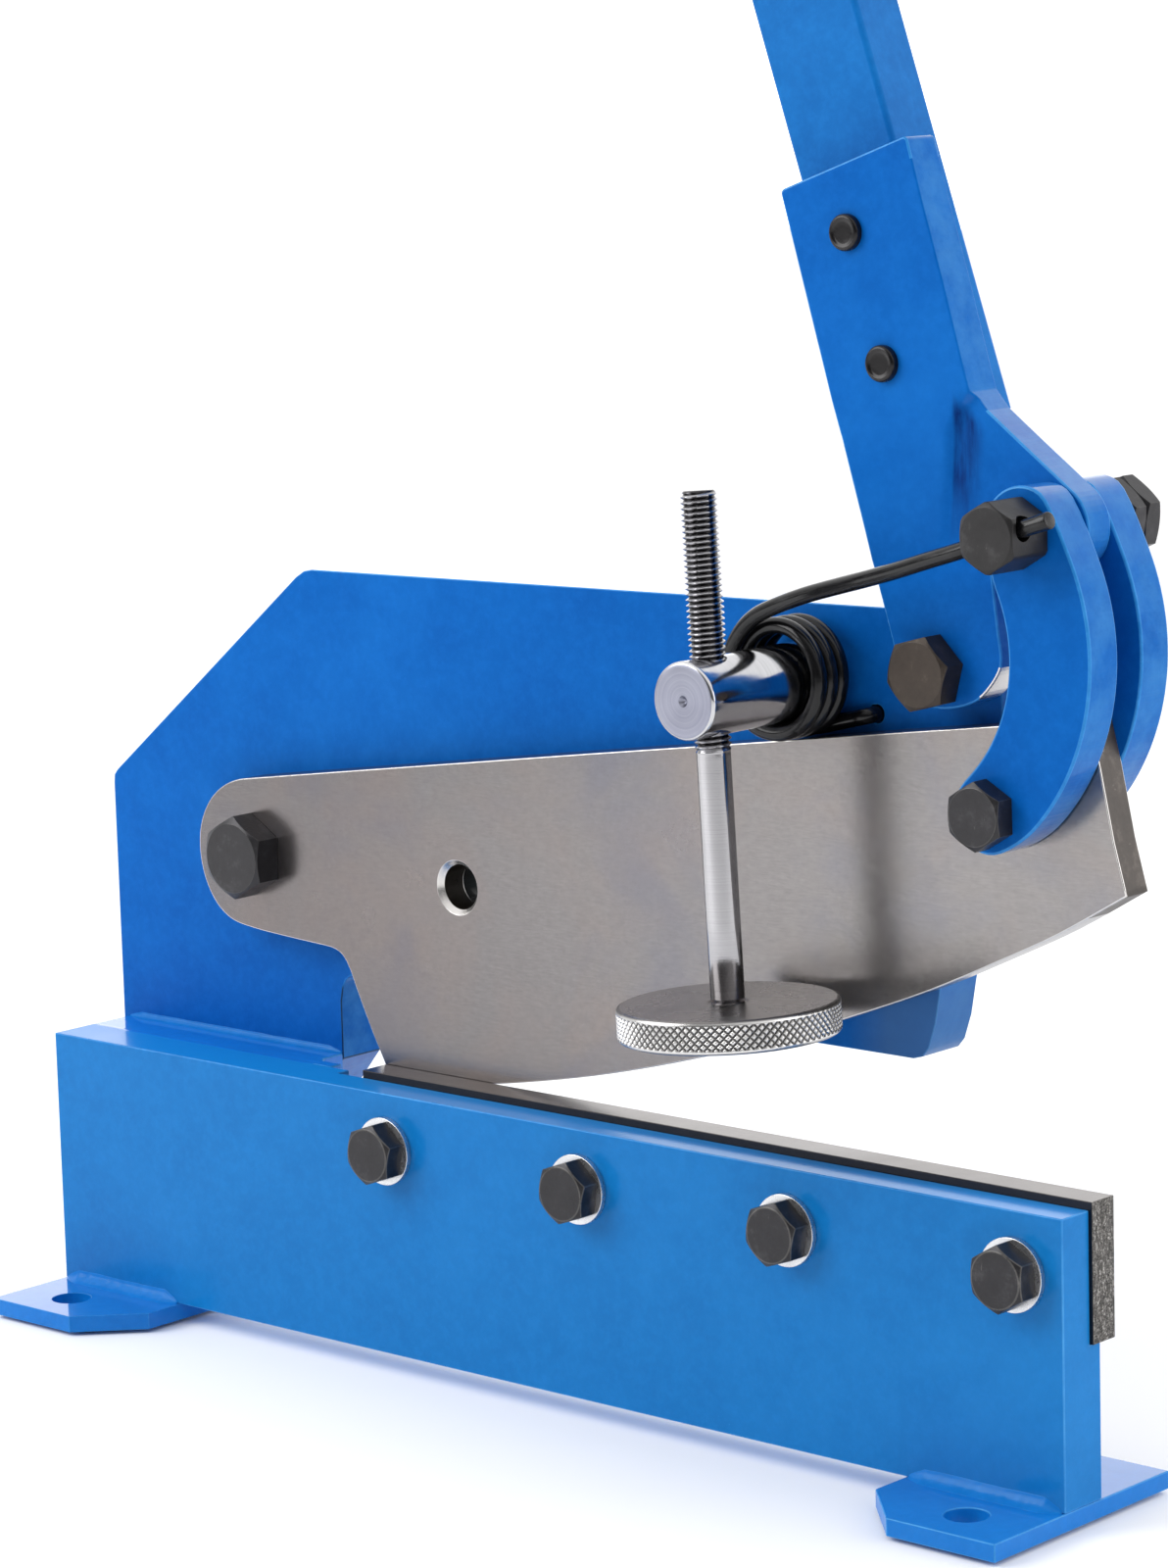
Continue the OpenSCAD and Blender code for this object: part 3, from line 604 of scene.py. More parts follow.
def plate_piece(name, outline, holes, front, back, r, mats, side_mat=None, grid=None, step=3.0, sinks=None):
    """A plate with rounded edges and through holes, outlines in X and Z, millimetres. front and back give Y."""
    loops = [outline if area2(outline) > 0 else outline[::-1]]
    loops += [h if area2(h) < 0 else h[::-1] for h in holes]
    loops = [dense(l, step) for l in loops]
    front_f = front if callable(front) else (lambda x, z: front)
    back_f = back if callable(back) else (lambda x, z: back)
    rows = [(r * (1 - math.cos(t)), r * (1 - math.sin(t))) for t in (0, math.pi / 8, math.pi / 4, math.pi * 3 / 8, math.pi / 2)]
    verts, faces, kinds = [], [], []

    def v(x, y, z):
        verts.append(at(x, y, z))
        return len(verts) - 1

    inner, inner_b = [], []
    for li, l in enumerate(loops):
        n = len(l)
        sink = (sinks or {}).get(li)
        nor = []
        for i in range(n):
            a, b, c = Vector(l[i - 1]), Vector(l[i]), Vector(l[(i + 1) % n])
            t1, t2 = (b - a).normalized(), (c - b).normalized()
            n1, n2 = Vector((-t1.y, t1.x)), Vector((-t2.y, t2.x))
            m = (n1 + n2).normalized()
            nor.append(m / max(0.5, m.dot(n1)))
        ring_f, ring_b = [], []
        front_rows = [(0.0, sink[1]), (0.08, sink[1] - 0.02), (sink[0] * 0.5, sink[1] * 0.5), (sink[0] - 0.10, 0.06), (sink[0], 0.0)] if sink else rows
        for d, y in front_rows:
            pts = [(l[i][0] + nor[i].x * d, l[i][1] + nor[i].y * d) for i in range(n)]
            ring_f.append([v(p[0], front_f(*p) + y, p[1]) for p in pts])
        for d, y in rows:
            pts = [(l[i][0] + nor[i].x * d, l[i][1] + nor[i].y * d) for i in range(n)]
            ring_b.append([v(p[0], back_f(*p) - y, p[1]) for p in pts])
        for rings, flip in ((ring_f, False), (ring_b, True)):
            for k in range(len(rows) - 1):
                for i in range(n):
                    q = (rings[k][i], rings[k][(i + 1) % n], rings[k + 1][(i + 1) % n], rings[k + 1][i])
                    faces.append(q[::-1] if flip else q)
                    kinds.append("edge")
        for i in range(n):
            faces.append((ring_f[0][i], ring_b[0][i], ring_b[0][(i + 1) % n], ring_f[0][(i + 1) % n]))
            kinds.append("side")
        rf = sink[0] if sink else r
        inner.append([(l[i][0] + nor[i].x * rf, l[i][1] + nor[i].y * rf) for i in range(n)])
        inner_b.append([(l[i][0] + nor[i].x * r, l[i][1] + nor[i].y * r) for i in range(n)])

    def loops_to_edges(rings):
        pts, edges = [], []
        for l in rings:
            s0 = len(pts)
            pts += [Vector(p) for p in l]
            edges += [(s0 + i, s0 + (i + 1) % len(l)) for i in range(len(l))]
        return pts, edges
    pts2, edges2 = loops_to_edges(inner)
    if grid:
        xs = [p[0] for p in inner[0]]
        zs = [p[1] for p in inner[0]]
        z = min(zs) + grid / 2
        odd = 0
        while z < max(zs):
            x = min(xs) + (grid / 2 if odd else 0)
            while x < max(xs):
                if inside((x, z), inner[0]) and not any(inside((x, z), h) for h in inner[1:]):
                    if all(seg_dist((x, z), l[i - 1], l[i]) > grid * 0.4 for l in inner for i in range(len(l))):
                        pts2.append(Vector((x, z)))
                x += grid
            z += grid * 0.87
            odd = 1 - odd
    for rings, f_y, flip in ((inner, front_f, False), (inner_b, back_f, True)):
        p2, e2 = (pts2, edges2) if not flip or not sinks else loops_to_edges(rings)
        vc, _, fc, _, _, _ = delaunay_2d_cdt(p2, e2, [], 1, 1e-5)
        ids = [v(p.x, f_y(p.x, p.y), p.y) for p in vc]
        for f in fc:
            c = sum((vc[i] for i in f), Vector((0, 0))) / len(f)
            if not inside(c, rings[0]) or any(inside(c, h) for h in rings[1:]):
                continue
            q = tuple(ids[i] for i in f)
            faces.append(q[::-1] if flip else q)
            kinds.append("face")
    me = bpy.data.meshes.new(name)
    me.from_pydata([tuple(p) for p in verts], [], faces)
    for i, k in enumerate(kinds):
        me.polygons[i].material_index = 1 if k == "edge" else 0
    if side_mat:
        for i, k in enumerate(kinds):
            c = me.polygons[i].center
            me.polygons[i].material_index = side_mat(k, c.x * 1000 + OX, c.z * 1000, me.polygons[i].material_index)
    bm = bmesh.new()
    bm.from_mesh(me)
    bmesh.ops.remove_doubles(bm, verts=bm.verts, dist=2e-6)
    bmesh.ops.recalc_face_normals(bm, faces=bm.faces)
    bm.to_mesh(me)
    bm.free()
    me.polygons.foreach_set("use_smooth", [True] * len(me.polygons))
    for m in mats:
        me.materials.append(m)
    o = bpy.data.objects.new(name, me)
    bpy.context.collection.objects.link(o)
    w = o.modifiers.new("normals", "WEIGHTED_NORMAL")
    w.weight = 80
    return o


def circle(c, r, n=64):
    return [(c[0] + r * math.cos(2 * math.pi * i / n), c[1] + r * math.sin(2 * math.pi * i / n)) for i in range(n)]


# ---------------------------------------------------------------- lever plate, with its thicker flag worked down to the ear
BARE = blade_steel("bare_edge", bright=True)


def lever_piece():
    B, P1 = (368, 256.5), (329.5, 217)
    low = spline2([(350.7, 230.1), (351.9, 222.1), (350.6, 217.4), (345.6, 211.6), (339.9, 208.7), (331.9, 207.3), (324, 208.4), (319.2, 213.5), (316.4, 223.2), (313.5, 232.9)], 4)
    out = [(282.8, 341.7), (325.2, 355.8), (329.6, 340.3), (336.1, 319.2), (342.9, 295.5), (344.4, 290.6), (348.5, 285.8), (358.4, 278.4)]
    out += arc(B, 12.0, 51, -111.5, 22) + [(360, 245), (352, 247.5), (349.1, 244)]
    out += low[1:-1] + [(309.6, 245.4), (301.7, 277.2), (301.2, 278.8)]
    out = soften(out, 1.6)
    ang = math.radians(18.5)
    holes = [circle(P1, 6.06), circle(B, 6.06)]
    for vv in (16.4, 52):
        holes.append(circle((318.7 + 3.3 * math.cos(ang) - vv * math.sin(ang), 280.5 + 3.3 * math.sin(ang) + vv * math.cos(ang)), 3.15, 32))
    ramp = [(360, 298), (347.4, 292.2), (341.2, 287.0), (337.6, 279), (336.4, 268), (334.0, 254), (331, 240)]

    def front(x, z):
        # signed distance to the ramp line, positive on the flag's side
        best, sgn = 1e9, 1
        for a, b in zip(ramp, ramp[1:]):
            d = seg_dist((x, z), a, b)
            if d < best:
                best = d
                cr = (b[0] - a[0]) * (z - a[1]) - (b[1] - a[1]) * (x - a[0])
                sgn = -1 if cr > 0 else 1
        t = best * sgn
        k = max(0.0, min(1.0, (t + 1.9) / 3.6))
        k = k * k * (3 - 2 * k)
        f = max(0.0, min(1.0, (z - 243) / 44))
        f = f * f * (3 - 2 * f) * 0.4 + f * 0.6
        y = 21.4 - 2.2 * k * f
        # rough run-out of the grinding at the shoulder
        near = max(0.0, 1 - math.hypot(x - 343.5, (z - 288.5) * 0.7) / 6.5)
        y -= near * 0.55 * max(0.0, noise.noise(Vector((x * 0.9, z * 0.7, 3.3))) + 0.15)
        return max(19.0, y)

    def pick(kind, x, z, idx):
        if kind != "face" and 344.5 < x and 209 < z < 219.5:
            return 2
        if kind == "edge" and x > 322 and z > 286 and not 6 > abs((x - 282.8) * 14.1 - (z - 341.7) * 42.4) / 44.7:
            return 0
        return idx
    o = plate_piece("lever_plate_formed", out, holes, front, 31.0, 0.55, [BLUE_LEVER, BLUE_EDGE, BARE], side_mat=pick, grid=1.3, step=1.2)
    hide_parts("lever_plate")
    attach(o, "lever")


# ---------------------------------------------------------------- upper blade with its flowing outline and countersunk hole
def turn(p, a):
    c, s = math.cos(math.radians(a)), math.sin(math.radians(a))
    return Vector((p[0] * c + p[1] * s, -p[0] * s + p[1] * c))


def blade_piece():
    P0, P1, A, B = Vector((69.3, 142.8)), Vector((329.5, 217)), Vector((356, 183.5)), Vector((368, 256.5))
    left = [(125, 79.5), (122.4, 85.4), (118.4, 92.8), (114.6, 100.4), (111.4, 107.2), (109.0, 112.4), (106.4, 115.9), (103.2, 117.5), (99.5, 118.0), (94.1, 118.3),
            (80.4, 119.1), (69, 120), (60, 121.5), (53.9, 125.0), (49.7, 130.2), (47.1, 136.6), (46.25, 143.4), (47.3, 150.4), (51.0, 157.1), (56.6, 162.0), (63.6, 165.0), (71.6, 166.35)]
    edge = [(390.6, 163.7), (369, 151.4), (349.9, 142.2), (327.1, 131.8), (303.7, 122.6), (280, 114), (255, 105.7), (230, 98.5), (205, 92.3), (180, 87.2), (160, 83.8), (142, 81.3), (125, 79.5)]
    out = spline2(edge, 4)[:-1] + spline2(left, 5) + [(113.4, 172.15), (207, 185.05), (348.1, 204.05), (379.55, 208.35), (382.8, 195.8), (386.8, 177.3)]
    # room round the lower link pin
    way = [P0 + turn(P1 + turn(B - P1, t) - turn(B - A, 0.08 * t) - P0, -14.4 / 84 * t) for t in [84 * i / 14 for i in range(15)]]
    g = sum(way, Vector((0, 0))) / len(way)
    slot = []
    for k in range(72):
        u = Vector((math.cos(2 * math.pi * k / 72), math.sin(2 * math.pi * k / 72)))
        far = 0
        for c in way:
            d = c - g
            cross = d.x * u.y - d.y * u.x
            if abs(cross) < 5.45:
                far = max(far, d.dot(u) + math.sqrt(5.45 ** 2 - cross * cross))
        slot.append(tuple(g + u * far))

    def pick(kind, x, z, idx):
        near = math.hypot(x - 154.6, z - 141.4) < 9
        if near and kind == "side":
            return 2
        if kind == "side" and x > 378.5 and z > 155:
            return 3
        return 1 if kind == "edge" else 0
    o = plate_piece("moving_blade_ground", out, [circle(P0, 7.05), circle((154.6, 141.4), 6.6, 96), slot], 21.4, 31.0, 0.35,
                    [BLADE, BARE, BORE, SCALE], side_mat=pick, step=2.0, sinks={2: (1.55, 1.6)})
    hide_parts("moving_blade")
    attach(o, "blade")


# ---------------------------------------------------------------- round-headed handle bolts
def handle_bolt_pieces():
    ang = math.radians(18.5)
    rows = [(0.4, 1.92), (1.6, 1.92), (2.8, 1.92), (3.15, 1.95), (3.5, 2.10), (3.8, 2.20), (4.1, 2.20), (4.4, 2.08), (4.65, 1.85), (4.82, 1.5), (4.88, 1.0), (4.9, 0.4), (4.88, 0.02), (3.0, 0.0), (3.0, -20), (3.0, -37.6), (2.7, -37.95)]
    for i, vv in enumerate((16.4, 52)):
        x, z = 318.7 + 3.3 * math.cos(ang) - vv * math.sin(ang), 280.5 + 3.3 * math.sin(ang) + vv * math.cos(ang)
        v, f = lathe_rows([(r / 1000, h / 1000) for r, h in rows], 48)
        o = mesh_object(f"handle_bolt_turned_{i}", v, f, BLACK_GLOSS, matrix=Matrix.Translation(at(x, 19.2, z)) @ Matrix.Rotation(math.pi / 2, 4, "X"))
        sharp(o, 50)
        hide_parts("handle_bolts")
        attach(o, "lever")


TILT = Matrix.Translation(at(281.5, -12, 211)) @ Matrix.Rotation(-math.radians(2.6), 4, "Y")


# ---------------------------------------------------------------- crescent links, one flowing outline each
def link_pieces():
    A, B = (356, 183.5), (368, 256.5)
    outer = arc((327, 224.3), 62.0, 29.0, -50.0, 34)
    inner = arc((321.2, 223.6), 42.2, -50.0, 31.0, 30)
    top = arc(B, 12.2, 214, 44, 20)
    bottom = arc(A, 11.0, -62, -218, 16)
    out = top + outer + bottom + inner
    # one smooth closed run through the arcs
    o2 = []
    for p in out:
        if not o2 or math.hypot(p[0] - o2[-1][0], p[1] - o2[-1][1]) > 0.8:
            o2.append(p)
    for _ in range(3):
        o2 = [tuple((Vector(o2[i - 1]) + Vector(o2[i]) * 2 + Vector(o2[(i + 1) % len(o2)])) / 4) for i in range(len(o2))]
    for name, y0, y1, node in (("link_front_cut", 9.1, 21.1, "link_front"), ("link_rear_cut", 31.3, 43.3, "link_rear")):
        o = plate_piece(name, o2, [circle(A, 5.08, 48), circle(B, 6.08, 48)], y0, y1, 0.7, [BLUE_CUT, BLUE_EDGE], step=2.0)
        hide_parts(node)
        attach(o, "links")


# ---------------------------------------------------------------- hold-down screw with a real thread
def screw_piece():
    p, R, depth = 1.5e-3, 5.0e-3, 0.90e-3
    z0, z1 = -15e-3, 54.3e-3
    n, rows = 48, []
    rs = 4.6e-3
    rows += [(rs - 0.0004, -0.0859), (rs, -0.0855), (rs, -0.060), (rs, -0.030), (rs, z0 - 0.0012)]
    steps = int((z1 - z0) / (p / 10))

    def row(z):
        def f(a):
            t = (z / p - a / (2 * math.pi)) % 1.0
            tri = 1 - abs(2 * t - 1)
            tri = min(1.0, max(0.0, (tri - 0.10) / 0.80))
            r = R - depth * (1 - tri)
            end = min(1.0, max(0.0, (z - z0) / (1.6 * p)))
            r = rs + (r - rs) * end if end < 1 else r
            top = z1 - z
            r = min(r, R - depth - 0.0001 + top * 1.0)
            return r, z
        return f
    for i in range(steps + 1):
        rows.append(row(z0 + (z1 - z0) * i / steps))
    v, f = lathe_rows(rows, n)
    o = mesh_object("holddown_screw_threaded", v, f, CHROME_Z, matrix=TILT)
    sharp(o, 50)
    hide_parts("holddown_screw")
    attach(o, "holddown")
    return o


# ---------------------------------------------------------------- knurled disc
def disc_piece():
    R, h, c = 0.0299, 0.009, 0.0006
    z0 = -0.0904
    pitch, depth = 0.00180, 0.00052
    around = int(round(2 * math.pi * R / (pitch * 1.25)))
    n = around * 8
    band0, band1 = z0 + 0.0011, z0 + h - 0.0011
    rows = [(0.004, z0), (0.012, z0), (0.022, z0), (R - 0.0009, z0), (R - 0.0003, z0 + 0.0003), (R - 0.00002, z0 + 0.0007)]
    k = 36

    def row(z, w):
        def f(a):
            u = (around * a / (2 * math.pi) + (z - z0) / (pitch * 1.25)) % 1.0
            v = (around * a / (2 * math.pi) - (z - z0) / (pitch * 1.25)) % 1.0
            gu = 1 - abs(2 * u - 1)
            gv = 1 - abs(2 * v - 1)
            g = min(gu, gv)
            g = min(1.0, g / 0.55)
            return R + 0.00008 - depth * (1 - g) * w, z
        return f
    for i in range(k + 1):
        z = band0 + (band1 - band0) * i / k
        w = min(1.0, i / 1.5, (k - i) / 1.5)
        rows.append(row(z, w))
    rows += [(R - 0.00002, z0 + h - 0.0007), (R - 0.0003, z0 + h - 0.0003), (R - 0.0009, z0 + h), (0.022, z0 + h), (0.012, z0 + h), (0.0056, z0 + h), (0.0050, z0 + h - 0.0004)]
    v, f = lathe_rows(rows, n)
    o = mesh_object("holddown_disc_knurled", v, f, DISC, matrix=TILT)
    sharp(o, 24)
    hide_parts("holddown_disc")
    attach(o, "holddown")
    return o


# ---------------------------------------------------------------- hold-down bar
def bar_piece():
    # profile along -Y, with a rounded rim, a flat turned face and a centre drilling
    L0, L1 = -0.023, 0.0313
    r = 0.0105
    prof = [(0.0001, 0.0014), (0.0009, 0.0008), (0.0015, 0.0), (0.0022, 0.0), (0.004, 0.0), (0.0065, 0.0), (0.0092, 0.0), (0.0098, 0.00008), (0.0102, 0.00032), (0.01042, 0.0007), (r, 0.0012)]
    prof += [(r, 0.006), (r, 0.016), (r, 0.03), (r, L1 - L0)]
    prof += [(0.007, L1 - L0 + 0.0001), (0.007, L1 - L0 + 0.026), (0.0062, L1 - L0 + 0.0266)]
    v, f = lathe_rows(prof, 96)
    mat = Matrix.Translation(at(281.5, -23, 211)) @ Matrix.Rotation(-math.pi / 2, 4, "X")
    o = mesh_object("holddown_bar_turned", v, f, CHROME_Y_LOCAL, matrix=mat)
    sharp(o, 40)
    o.data.materials.append(BAR_FACE)
    for p in o.data.polygons:
        c = p.center
        if c.z < 0.0014 and (c.x * c.x + c.y * c.y) ** 0.5 < 0.0096:
            p.material_index = 1
    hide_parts("holddown_bar")
    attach(o, "frame")
    return o


CHROME_Y_LOCAL = turned("chrome_bar_local", 2, color=((0.50, 0.50, 0.52), (0.68, 0.68, 0.70)), rough=0.11, amount=0.10, freq=1500)
set_mat(N["holddown_bar"], CHROME_Y)
set_mat(N["holddown_screw"], CHROME_Z)
set_mat(N["holddown_disc"], DISC)
set_mat(N["torsion_spring"], WIRE)


# ---------------------------------------------------------------- torsion spring, one wire
def catmull(pts, per):
    out = []
    q = [pts[0] * 2 - pts[1]] + pts + [pts[-1] * 2 - pts[-2]]
    for i in range(1, len(q) - 2):
        a, b, c, d = q[i - 1:i + 3]
        for k in range(per):
            t = k / per
            out.append(0.5 * ((2 * b) + (c - a) * t + (2 * a - 5 * b + 4 * c - d) * t * t + (3 * b - a - 3 * c + d) * t ** 3))
    out.append(pts[-1])
    return out


def sweep(path, r, n, end_round=0.14):
    verts, faces = [], []
    m = len(path)
    u = Vector((0.3, 0.1, 1.0))
    dirs = [(path[min(i + 1, m - 1)] - path[max(i - 1, 0)]).normalized() for i in range(m)]
    rings = []
    for i in range(m):
        d = dirs[i]
        u = (u - d * u.dot(d)).normalized()
        w = d.cross(u)
        rings.append((path[i], u.copy(), w, r))
    e = r * end_round
    d1 = dirs[-1]
    rings[-1] = (path[-1] - d1 * e, rings[-1][1], rings[-1][2], r)
    rings.append((path[-1] - d1 * e * 0.3, rings[-1][1], rings[-1][2], r - e * 0.3))
    rings.append((path[-1], rings[-1][1], rings[-1][2], r - e))
    for c, uu, ww, rr in rings:
        for k in range(n):
            a = 2 * math.pi * k / n
            verts.append(c + rr * (math.cos(a) * uu + math.sin(a) * ww))
    for i in range(len(rings) - 1):
        for k in range(n):
            k2 = (k + 1) % n
            faces.append((i * n + k, i * n + k2, (i + 1) * n + k2, (i + 1) * n + k))
    verts.append(rings[0][0])
    verts.append(path[-1])
    c0, c1 = len(verts) - 2, len(verts) - 1
    faces += [(c0, (k + 1) % n, k) for k in range(n)]
    last = (len(rings) - 1) * n
    faces += [(c1, last + k, last + (k + 1) % n) for k in range(n)]
    return verts, faces


def spring_piece():
    C = (281.5, 212.2)
    r, y0, y1, turns, n = 14.4, 28.2, 13.2, 3 + 103.7 / 360, 76
    leg = [(266.9, 12.9, 213.6), (268.3, 12.6, 219.4), (272.2, 12.2, 225), (277, 11.9, 229), (284, 11.2, 232.2), (296, 9.8, 236.2),
           (308, 8.2, 239.4), (318.4, 6.3, 242), (330.8, 4, 245.2), (343.2, 1.8, 248.8), (356.5, 0, 252.6), (369, -0.8, 256.7), (384.6, -1.2, 261.6)]
    stub = [(302.6, 40, 202.5), (302.6, 34, 202.5), (302.5, 31.4, 202.45), (301.6, 29.4, 202.2), (299.2, 28.4, 201.6), (292, 28.2, 199.9)]
    coil = []
    for i in range(0, n):
        t = i / n
        b = math.radians(180 + 360 * turns * (1 - t))
        coil.append((C[0] + r * math.cos(b), y0 + (y1 - y0) * t, C[1] + r * math.sin(b)))
    pts = [at(*p) for p in stub + coil + leg]
    v, f = sweep(catmull(pts, 5), 0.00225, 20)
    o = mesh_object("torsion_spring_wire", v, f, WIRE)
    sharp(o, 60)
    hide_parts("torsion_spring")
    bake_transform(o)
    return o


# ---------------------------------------------------------------- weld beads
def bead(name, a, b, leg1, leg2, dir1, dir2, mat=None, pitch=2.6, seed=1, body="frame", ripple=0.014, hollow=0.7, rough=0.025):
    """A painted fillet weld from a to b in the corner of dir1 and dir2: hollow, a little uneven, run out at its ends."""
    a, b = Vector(a), Vector(b)
    along = (b - a)
    L = along.length
    along.normalize()
    d1, d2 = Vector(dir1), Vector(dir2)
    steps = int(L / 0.0006)
    prof = 12
    verts, faces, rows = [], [], []
    for i in range(steps + 1):
        s = L * i / steps
        end = min(1.0, (min(s, L - s) + 0.0006) / 0.006) ** 0.7
        wob1 = noise.noise(Vector((s * 90, seed * 7.7, 0)))
        wob2 = noise.noise(Vector((s * 130, seed * 3.1, 5)))
        row = []
        for j in range(prof + 1):
            q = j / prof
            phi = q * math.pi / 2
            x = hollow * (1 - math.sin(phi)) + (1 - hollow) * (1 - q)
            y = hollow * (1 - math.cos(phi)) + (1 - hollow) * q
            phase = (s / (pitch / 1000) + 0.5 * math.sin(math.pi * q) + 0.5 * noise.noise(Vector((s * 150, q, seed)))) % 1.0
            rip = ripple * (1 - abs(2 * phase - 1)) * math.sin(math.pi * q)
            lump = rough * noise.noise(Vector((s * 420, q * 3, seed + 2))) * math.sin(math.pi * q)
            px = leg1 * end * (1 + 0.12 * wob1) * max(0.004, x + rip + lump)
            py = leg2 * end * (1 + 0.12 * wob2) * max(0.004, y + rip + lump)
            if j == 0:
                py = -0.0001
            if j == prof:
                px = -0.0001
            row.append(a + along * s + d1 * px + d2 * py)
        row.append(a + along * s - d1 * 0.0001 - d2 * 0.0001)
        rows.append(row)
    w = prof + 2
    for row in rows:
        verts += row
    for i in range(len(rows) - 1):
        for j in range(w):
            j2 = (j + 1) % w
            faces.append((i * w + j, i * w + j2, (i + 1) * w + j2, (i + 1) * w + j))
    faces.append(tuple(range(w - 1, -1, -1)))
    faces.append(tuple((len(rows) - 1) * w + j for j in range(w)))
    o = mesh_object(name, verts, faces, mat or BLUE_WELD)
    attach(o, body)
    return o


def welds():
    foot = []
    for i, (x0, x1) in enumerate(((1, 51), (334, 384))):
        foot.append(bead(f"foot_weld_front_{i}", at(x0, 0, 5), at(x1, 0, 5), 0.0036, 0.0036, (0, -1, 0), (0, 0, 1), seed=3 + i, hollow=0.85, ripple=0.012))
        foot.append(bead(f"foot_weld_back_{i}", at(x0, 16, 5), at(x1, 16, 5), 0.0036, 0.0036, (0, 1, 0), (0, 0, 1), seed=9 + i, hollow=0.85, ripple=0.012))
    for o in foot:
        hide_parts("foot_welds")
    a = bead("frame_weld_shelf", at(0.5, 31.3, 83), at(94.5, 31.3, 83), 0.0019, 0.0019, (0, -1, 0), (0, 0, 1), seed=21, hollow=0.95, ripple=0.0, rough=0.004, mat=BLUE_WELD)
    b = bead("frame_weld_under", at(1, 16, 40), at(91, 16, 40), 0.0045, 0.0045, (0, 1, 0), (0, 0, -1), seed=25)
    for o in (a, b):
        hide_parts("frame_welds")


def shelf_seam():
    """The ground-down seam between the base plate and the filler block."""
    verts, faces = [], []
    n, prof = 120, 10
    for i in range(n + 1):
        x = 0.6 + (97.5 - 0.6) * i / n
        half = (1.5 + 0.25 * noise.noise(Vector((x * 0.11, 2.2, 0)))) * min(1.0, (min(i, n - i) + 0.3) / 4) ** 0.5
        for j in range(prof + 1):
            q = 2 * j / prof - 1
            verts.append(at(x, 16.0 + q * half, 82.93 + 0.13 * (1 - q * q) + 0.012 * noise.noise(Vector((x * 0.5, q * 2, 1)))))
    for i in range(n):
        for j in range(prof):
            a = i * (prof + 1) + j
            faces.append((a, a + 1, a + prof + 2, a + prof + 1))
    low = len(verts)
    for i in range(n + 1):
        verts.append(at(0.6 + (97.5 - 0.6) * i / n, 16.0, 82.4))
    for i in range(n):
        a = i * (prof + 1)
        faces.append((a, a + prof + 1, low + i + 1, low + i))
        faces.append((a + prof, low + i, low + i + 1, a + 2 * prof + 1))
    for i in (0, n):
        row = [i * (prof + 1) + j for j in range(prof + 1)] + [low + i]
        faces.append(tuple(row))
    o = mesh_object("shelf_seam_ground", verts, faces, BLUE_SHELF)
    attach(o, "frame")


shelf_seam()
lever_piece()
blade_piece()
handle_bolt_pieces()
link_pieces()
screw_piece()
disc_piece()
bar_piece()
spring_piece()
welds()


# ---------------------------------------------------------------- floor and light
def floor():
    me = bpy.data.meshes.new("floor")
    s = 6.0
    me.from_pydata([(-s, -s, 0), (s, -s, 0), (s, s, 0), (-s, s, 0)], [], [(0, 1, 2, 3)])
    m = Mat("floor_pale")
    a = m.noise(3, 2, 0.5)
    m.put(color=m.ramp(a, [(0.2, (0.975, 0.975, 0.98)), (0.8, (0.985, 0.985, 0.99))]), rough=0.75, spec=0.2)
    me.materials.append(m.m)
    o = bpy.data.objects.new("floor", me)
    bpy.context.collection.objects.link(o)
    o.location.z = -0.0012


def area(name, loc, target, size, power, color=(1, 1, 1), size_y=None):
    l = bpy.data.lights.new(name, "AREA")
    l.energy = power
    l.color = color
    l.size = size
    if size_y:
        l.shape = "RECTANGLE"
        l.size_y = size_y
    o = bpy.data.objects.new(name, l)
    bpy.context.collection.objects.link(o)
    o.location = loc
    o.rotation_euler = (Vector(target) - Vector(loc)).to_track_quat("-Z", "Y").to_euler()
    return o


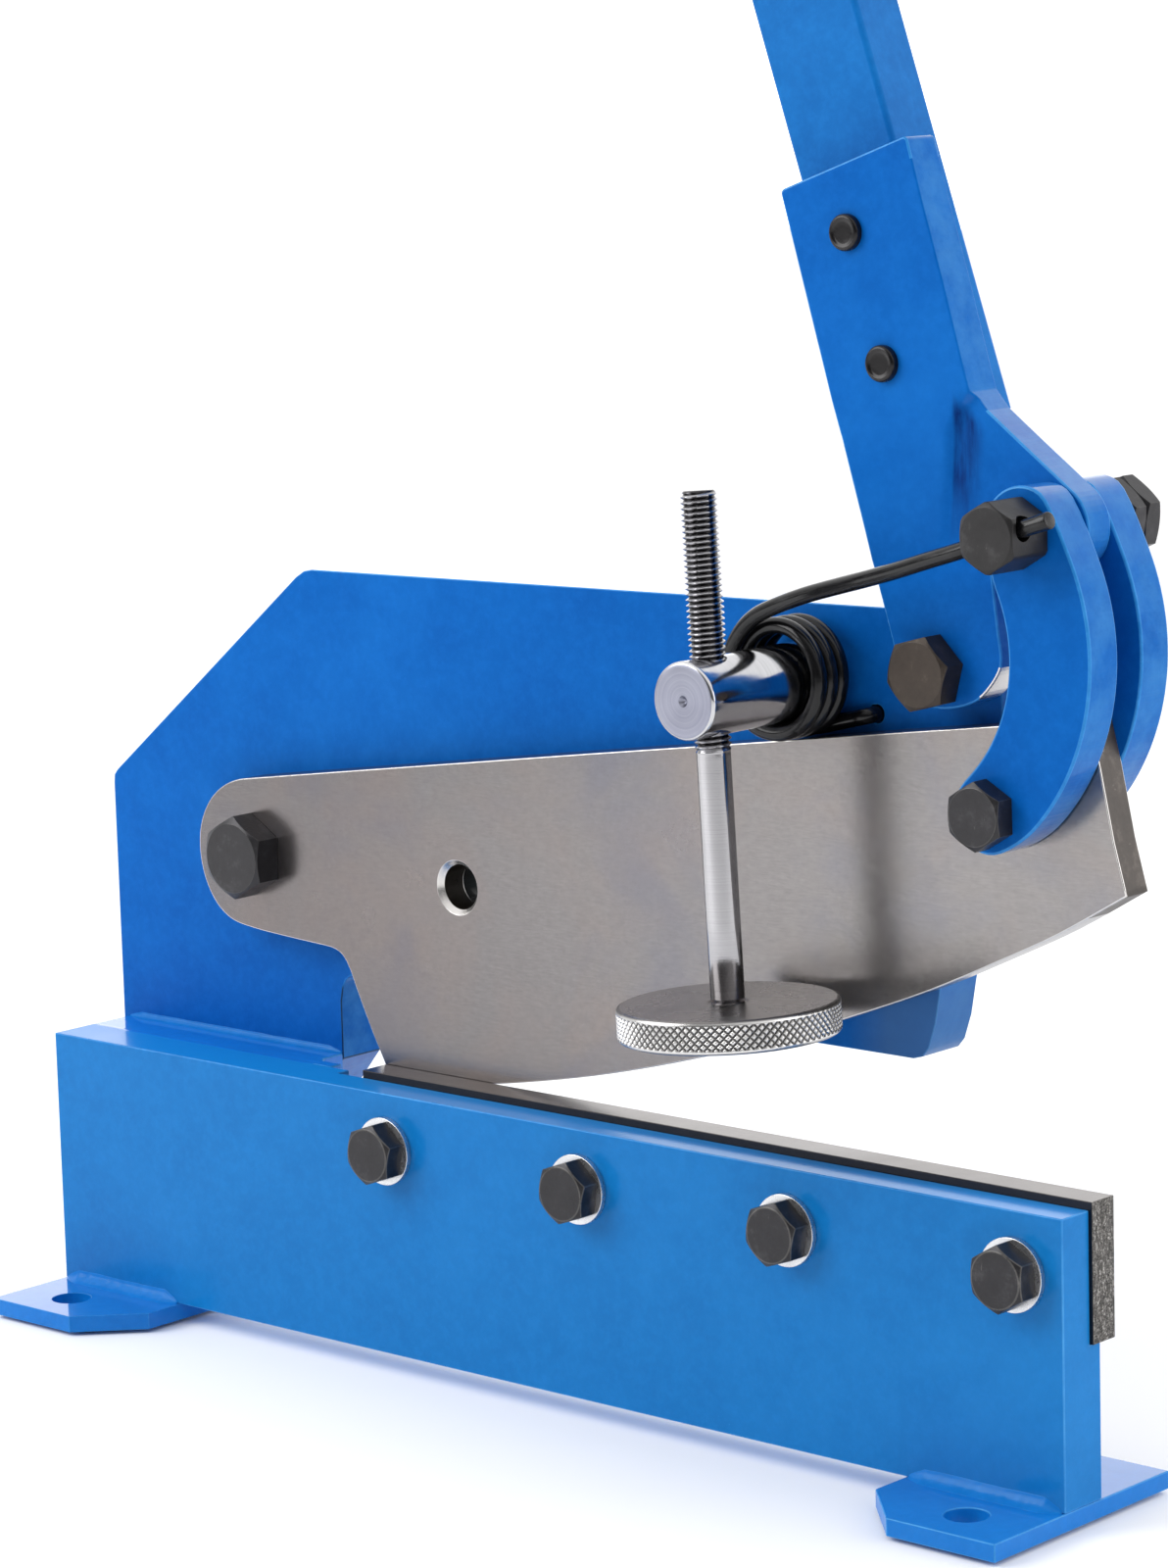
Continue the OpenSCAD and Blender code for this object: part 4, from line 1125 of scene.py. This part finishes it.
def world():
    """A white room, open and dimmer toward the front, as in a small product studio."""
    w = bpy.data.worlds.new("studio")
    bpy.context.scene.world = w
    w.use_nodes = True
    t = w.node_tree
    bg = t.nodes["Background"]
    co = t.nodes.new("ShaderNodeTexCoord")
    sep = t.nodes.new("ShaderNodeSeparateXYZ")
    t.links.new(co.outputs["Generated"], sep.inputs[0])
    a = t.nodes.new("ShaderNodeMath")
    a.operation = "MULTIPLY"
    t.links.new(sep.outputs[1], a.inputs[0])
    a.inputs[1].default_value = 0.75
    b = t.nodes.new("ShaderNodeMath")
    b.operation = "MULTIPLY_ADD"
    t.links.new(sep.outputs[2], b.inputs[0])
    b.inputs[1].default_value = 0.66
    t.links.new(a.outputs[0], b.inputs[2])
    r = t.nodes.new("ShaderNodeMapRange")
    r.interpolation_type = "SMOOTHSTEP"
    t.links.new(b.outputs[0], r.inputs[0])
    r.inputs[1].default_value = -0.45
    r.inputs[2].default_value = 0.30
    r.inputs[3].default_value = 0.10
    r.inputs[4].default_value = 1.18
    back = t.nodes.new("ShaderNodeMapRange")
    back.interpolation_type = "SMOOTHSTEP"
    t.links.new(sep.outputs[1], back.inputs[0])
    back.inputs[1].default_value = 0.30
    back.inputs[2].default_value = 0.65
    back.inputs[3].default_value = 0.0
    back.inputs[4].default_value = 0.75
    low = t.nodes.new("ShaderNodeMapRange")
    low.interpolation_type = "SMOOTHSTEP"
    t.links.new(sep.outputs[2], low.inputs[0])
    low.inputs[1].default_value = 0.22
    low.inputs[2].default_value = 0.42
    low.inputs[3].default_value = 1.0
    low.inputs[4].default_value = 0.0
    band = t.nodes.new("ShaderNodeMath")
    band.operation = "MULTIPLY_ADD"
    t.links.new(back.outputs[0], band.inputs[0])
    t.links.new(low.outputs[0], band.inputs[1])
    t.links.new(r.outputs[0], band.inputs[2])
    bg.inputs[0].default_value = (1, 1, 1, 1)
    t.links.new(band.outputs[0], bg.inputs[1])


floor()
world()
area("key", (-0.80, -1.00, 0.86), (0.02, 0, 0.14), 1.0, 15)
area("right", (1.7, 0.5, 0.7), (0.1, 0, 0.15), 0.8, 5, size_y=1.0)

bpy.context.scene.view_settings.view_transform = "Standard"
bpy.context.scene.view_settings.look = "None"
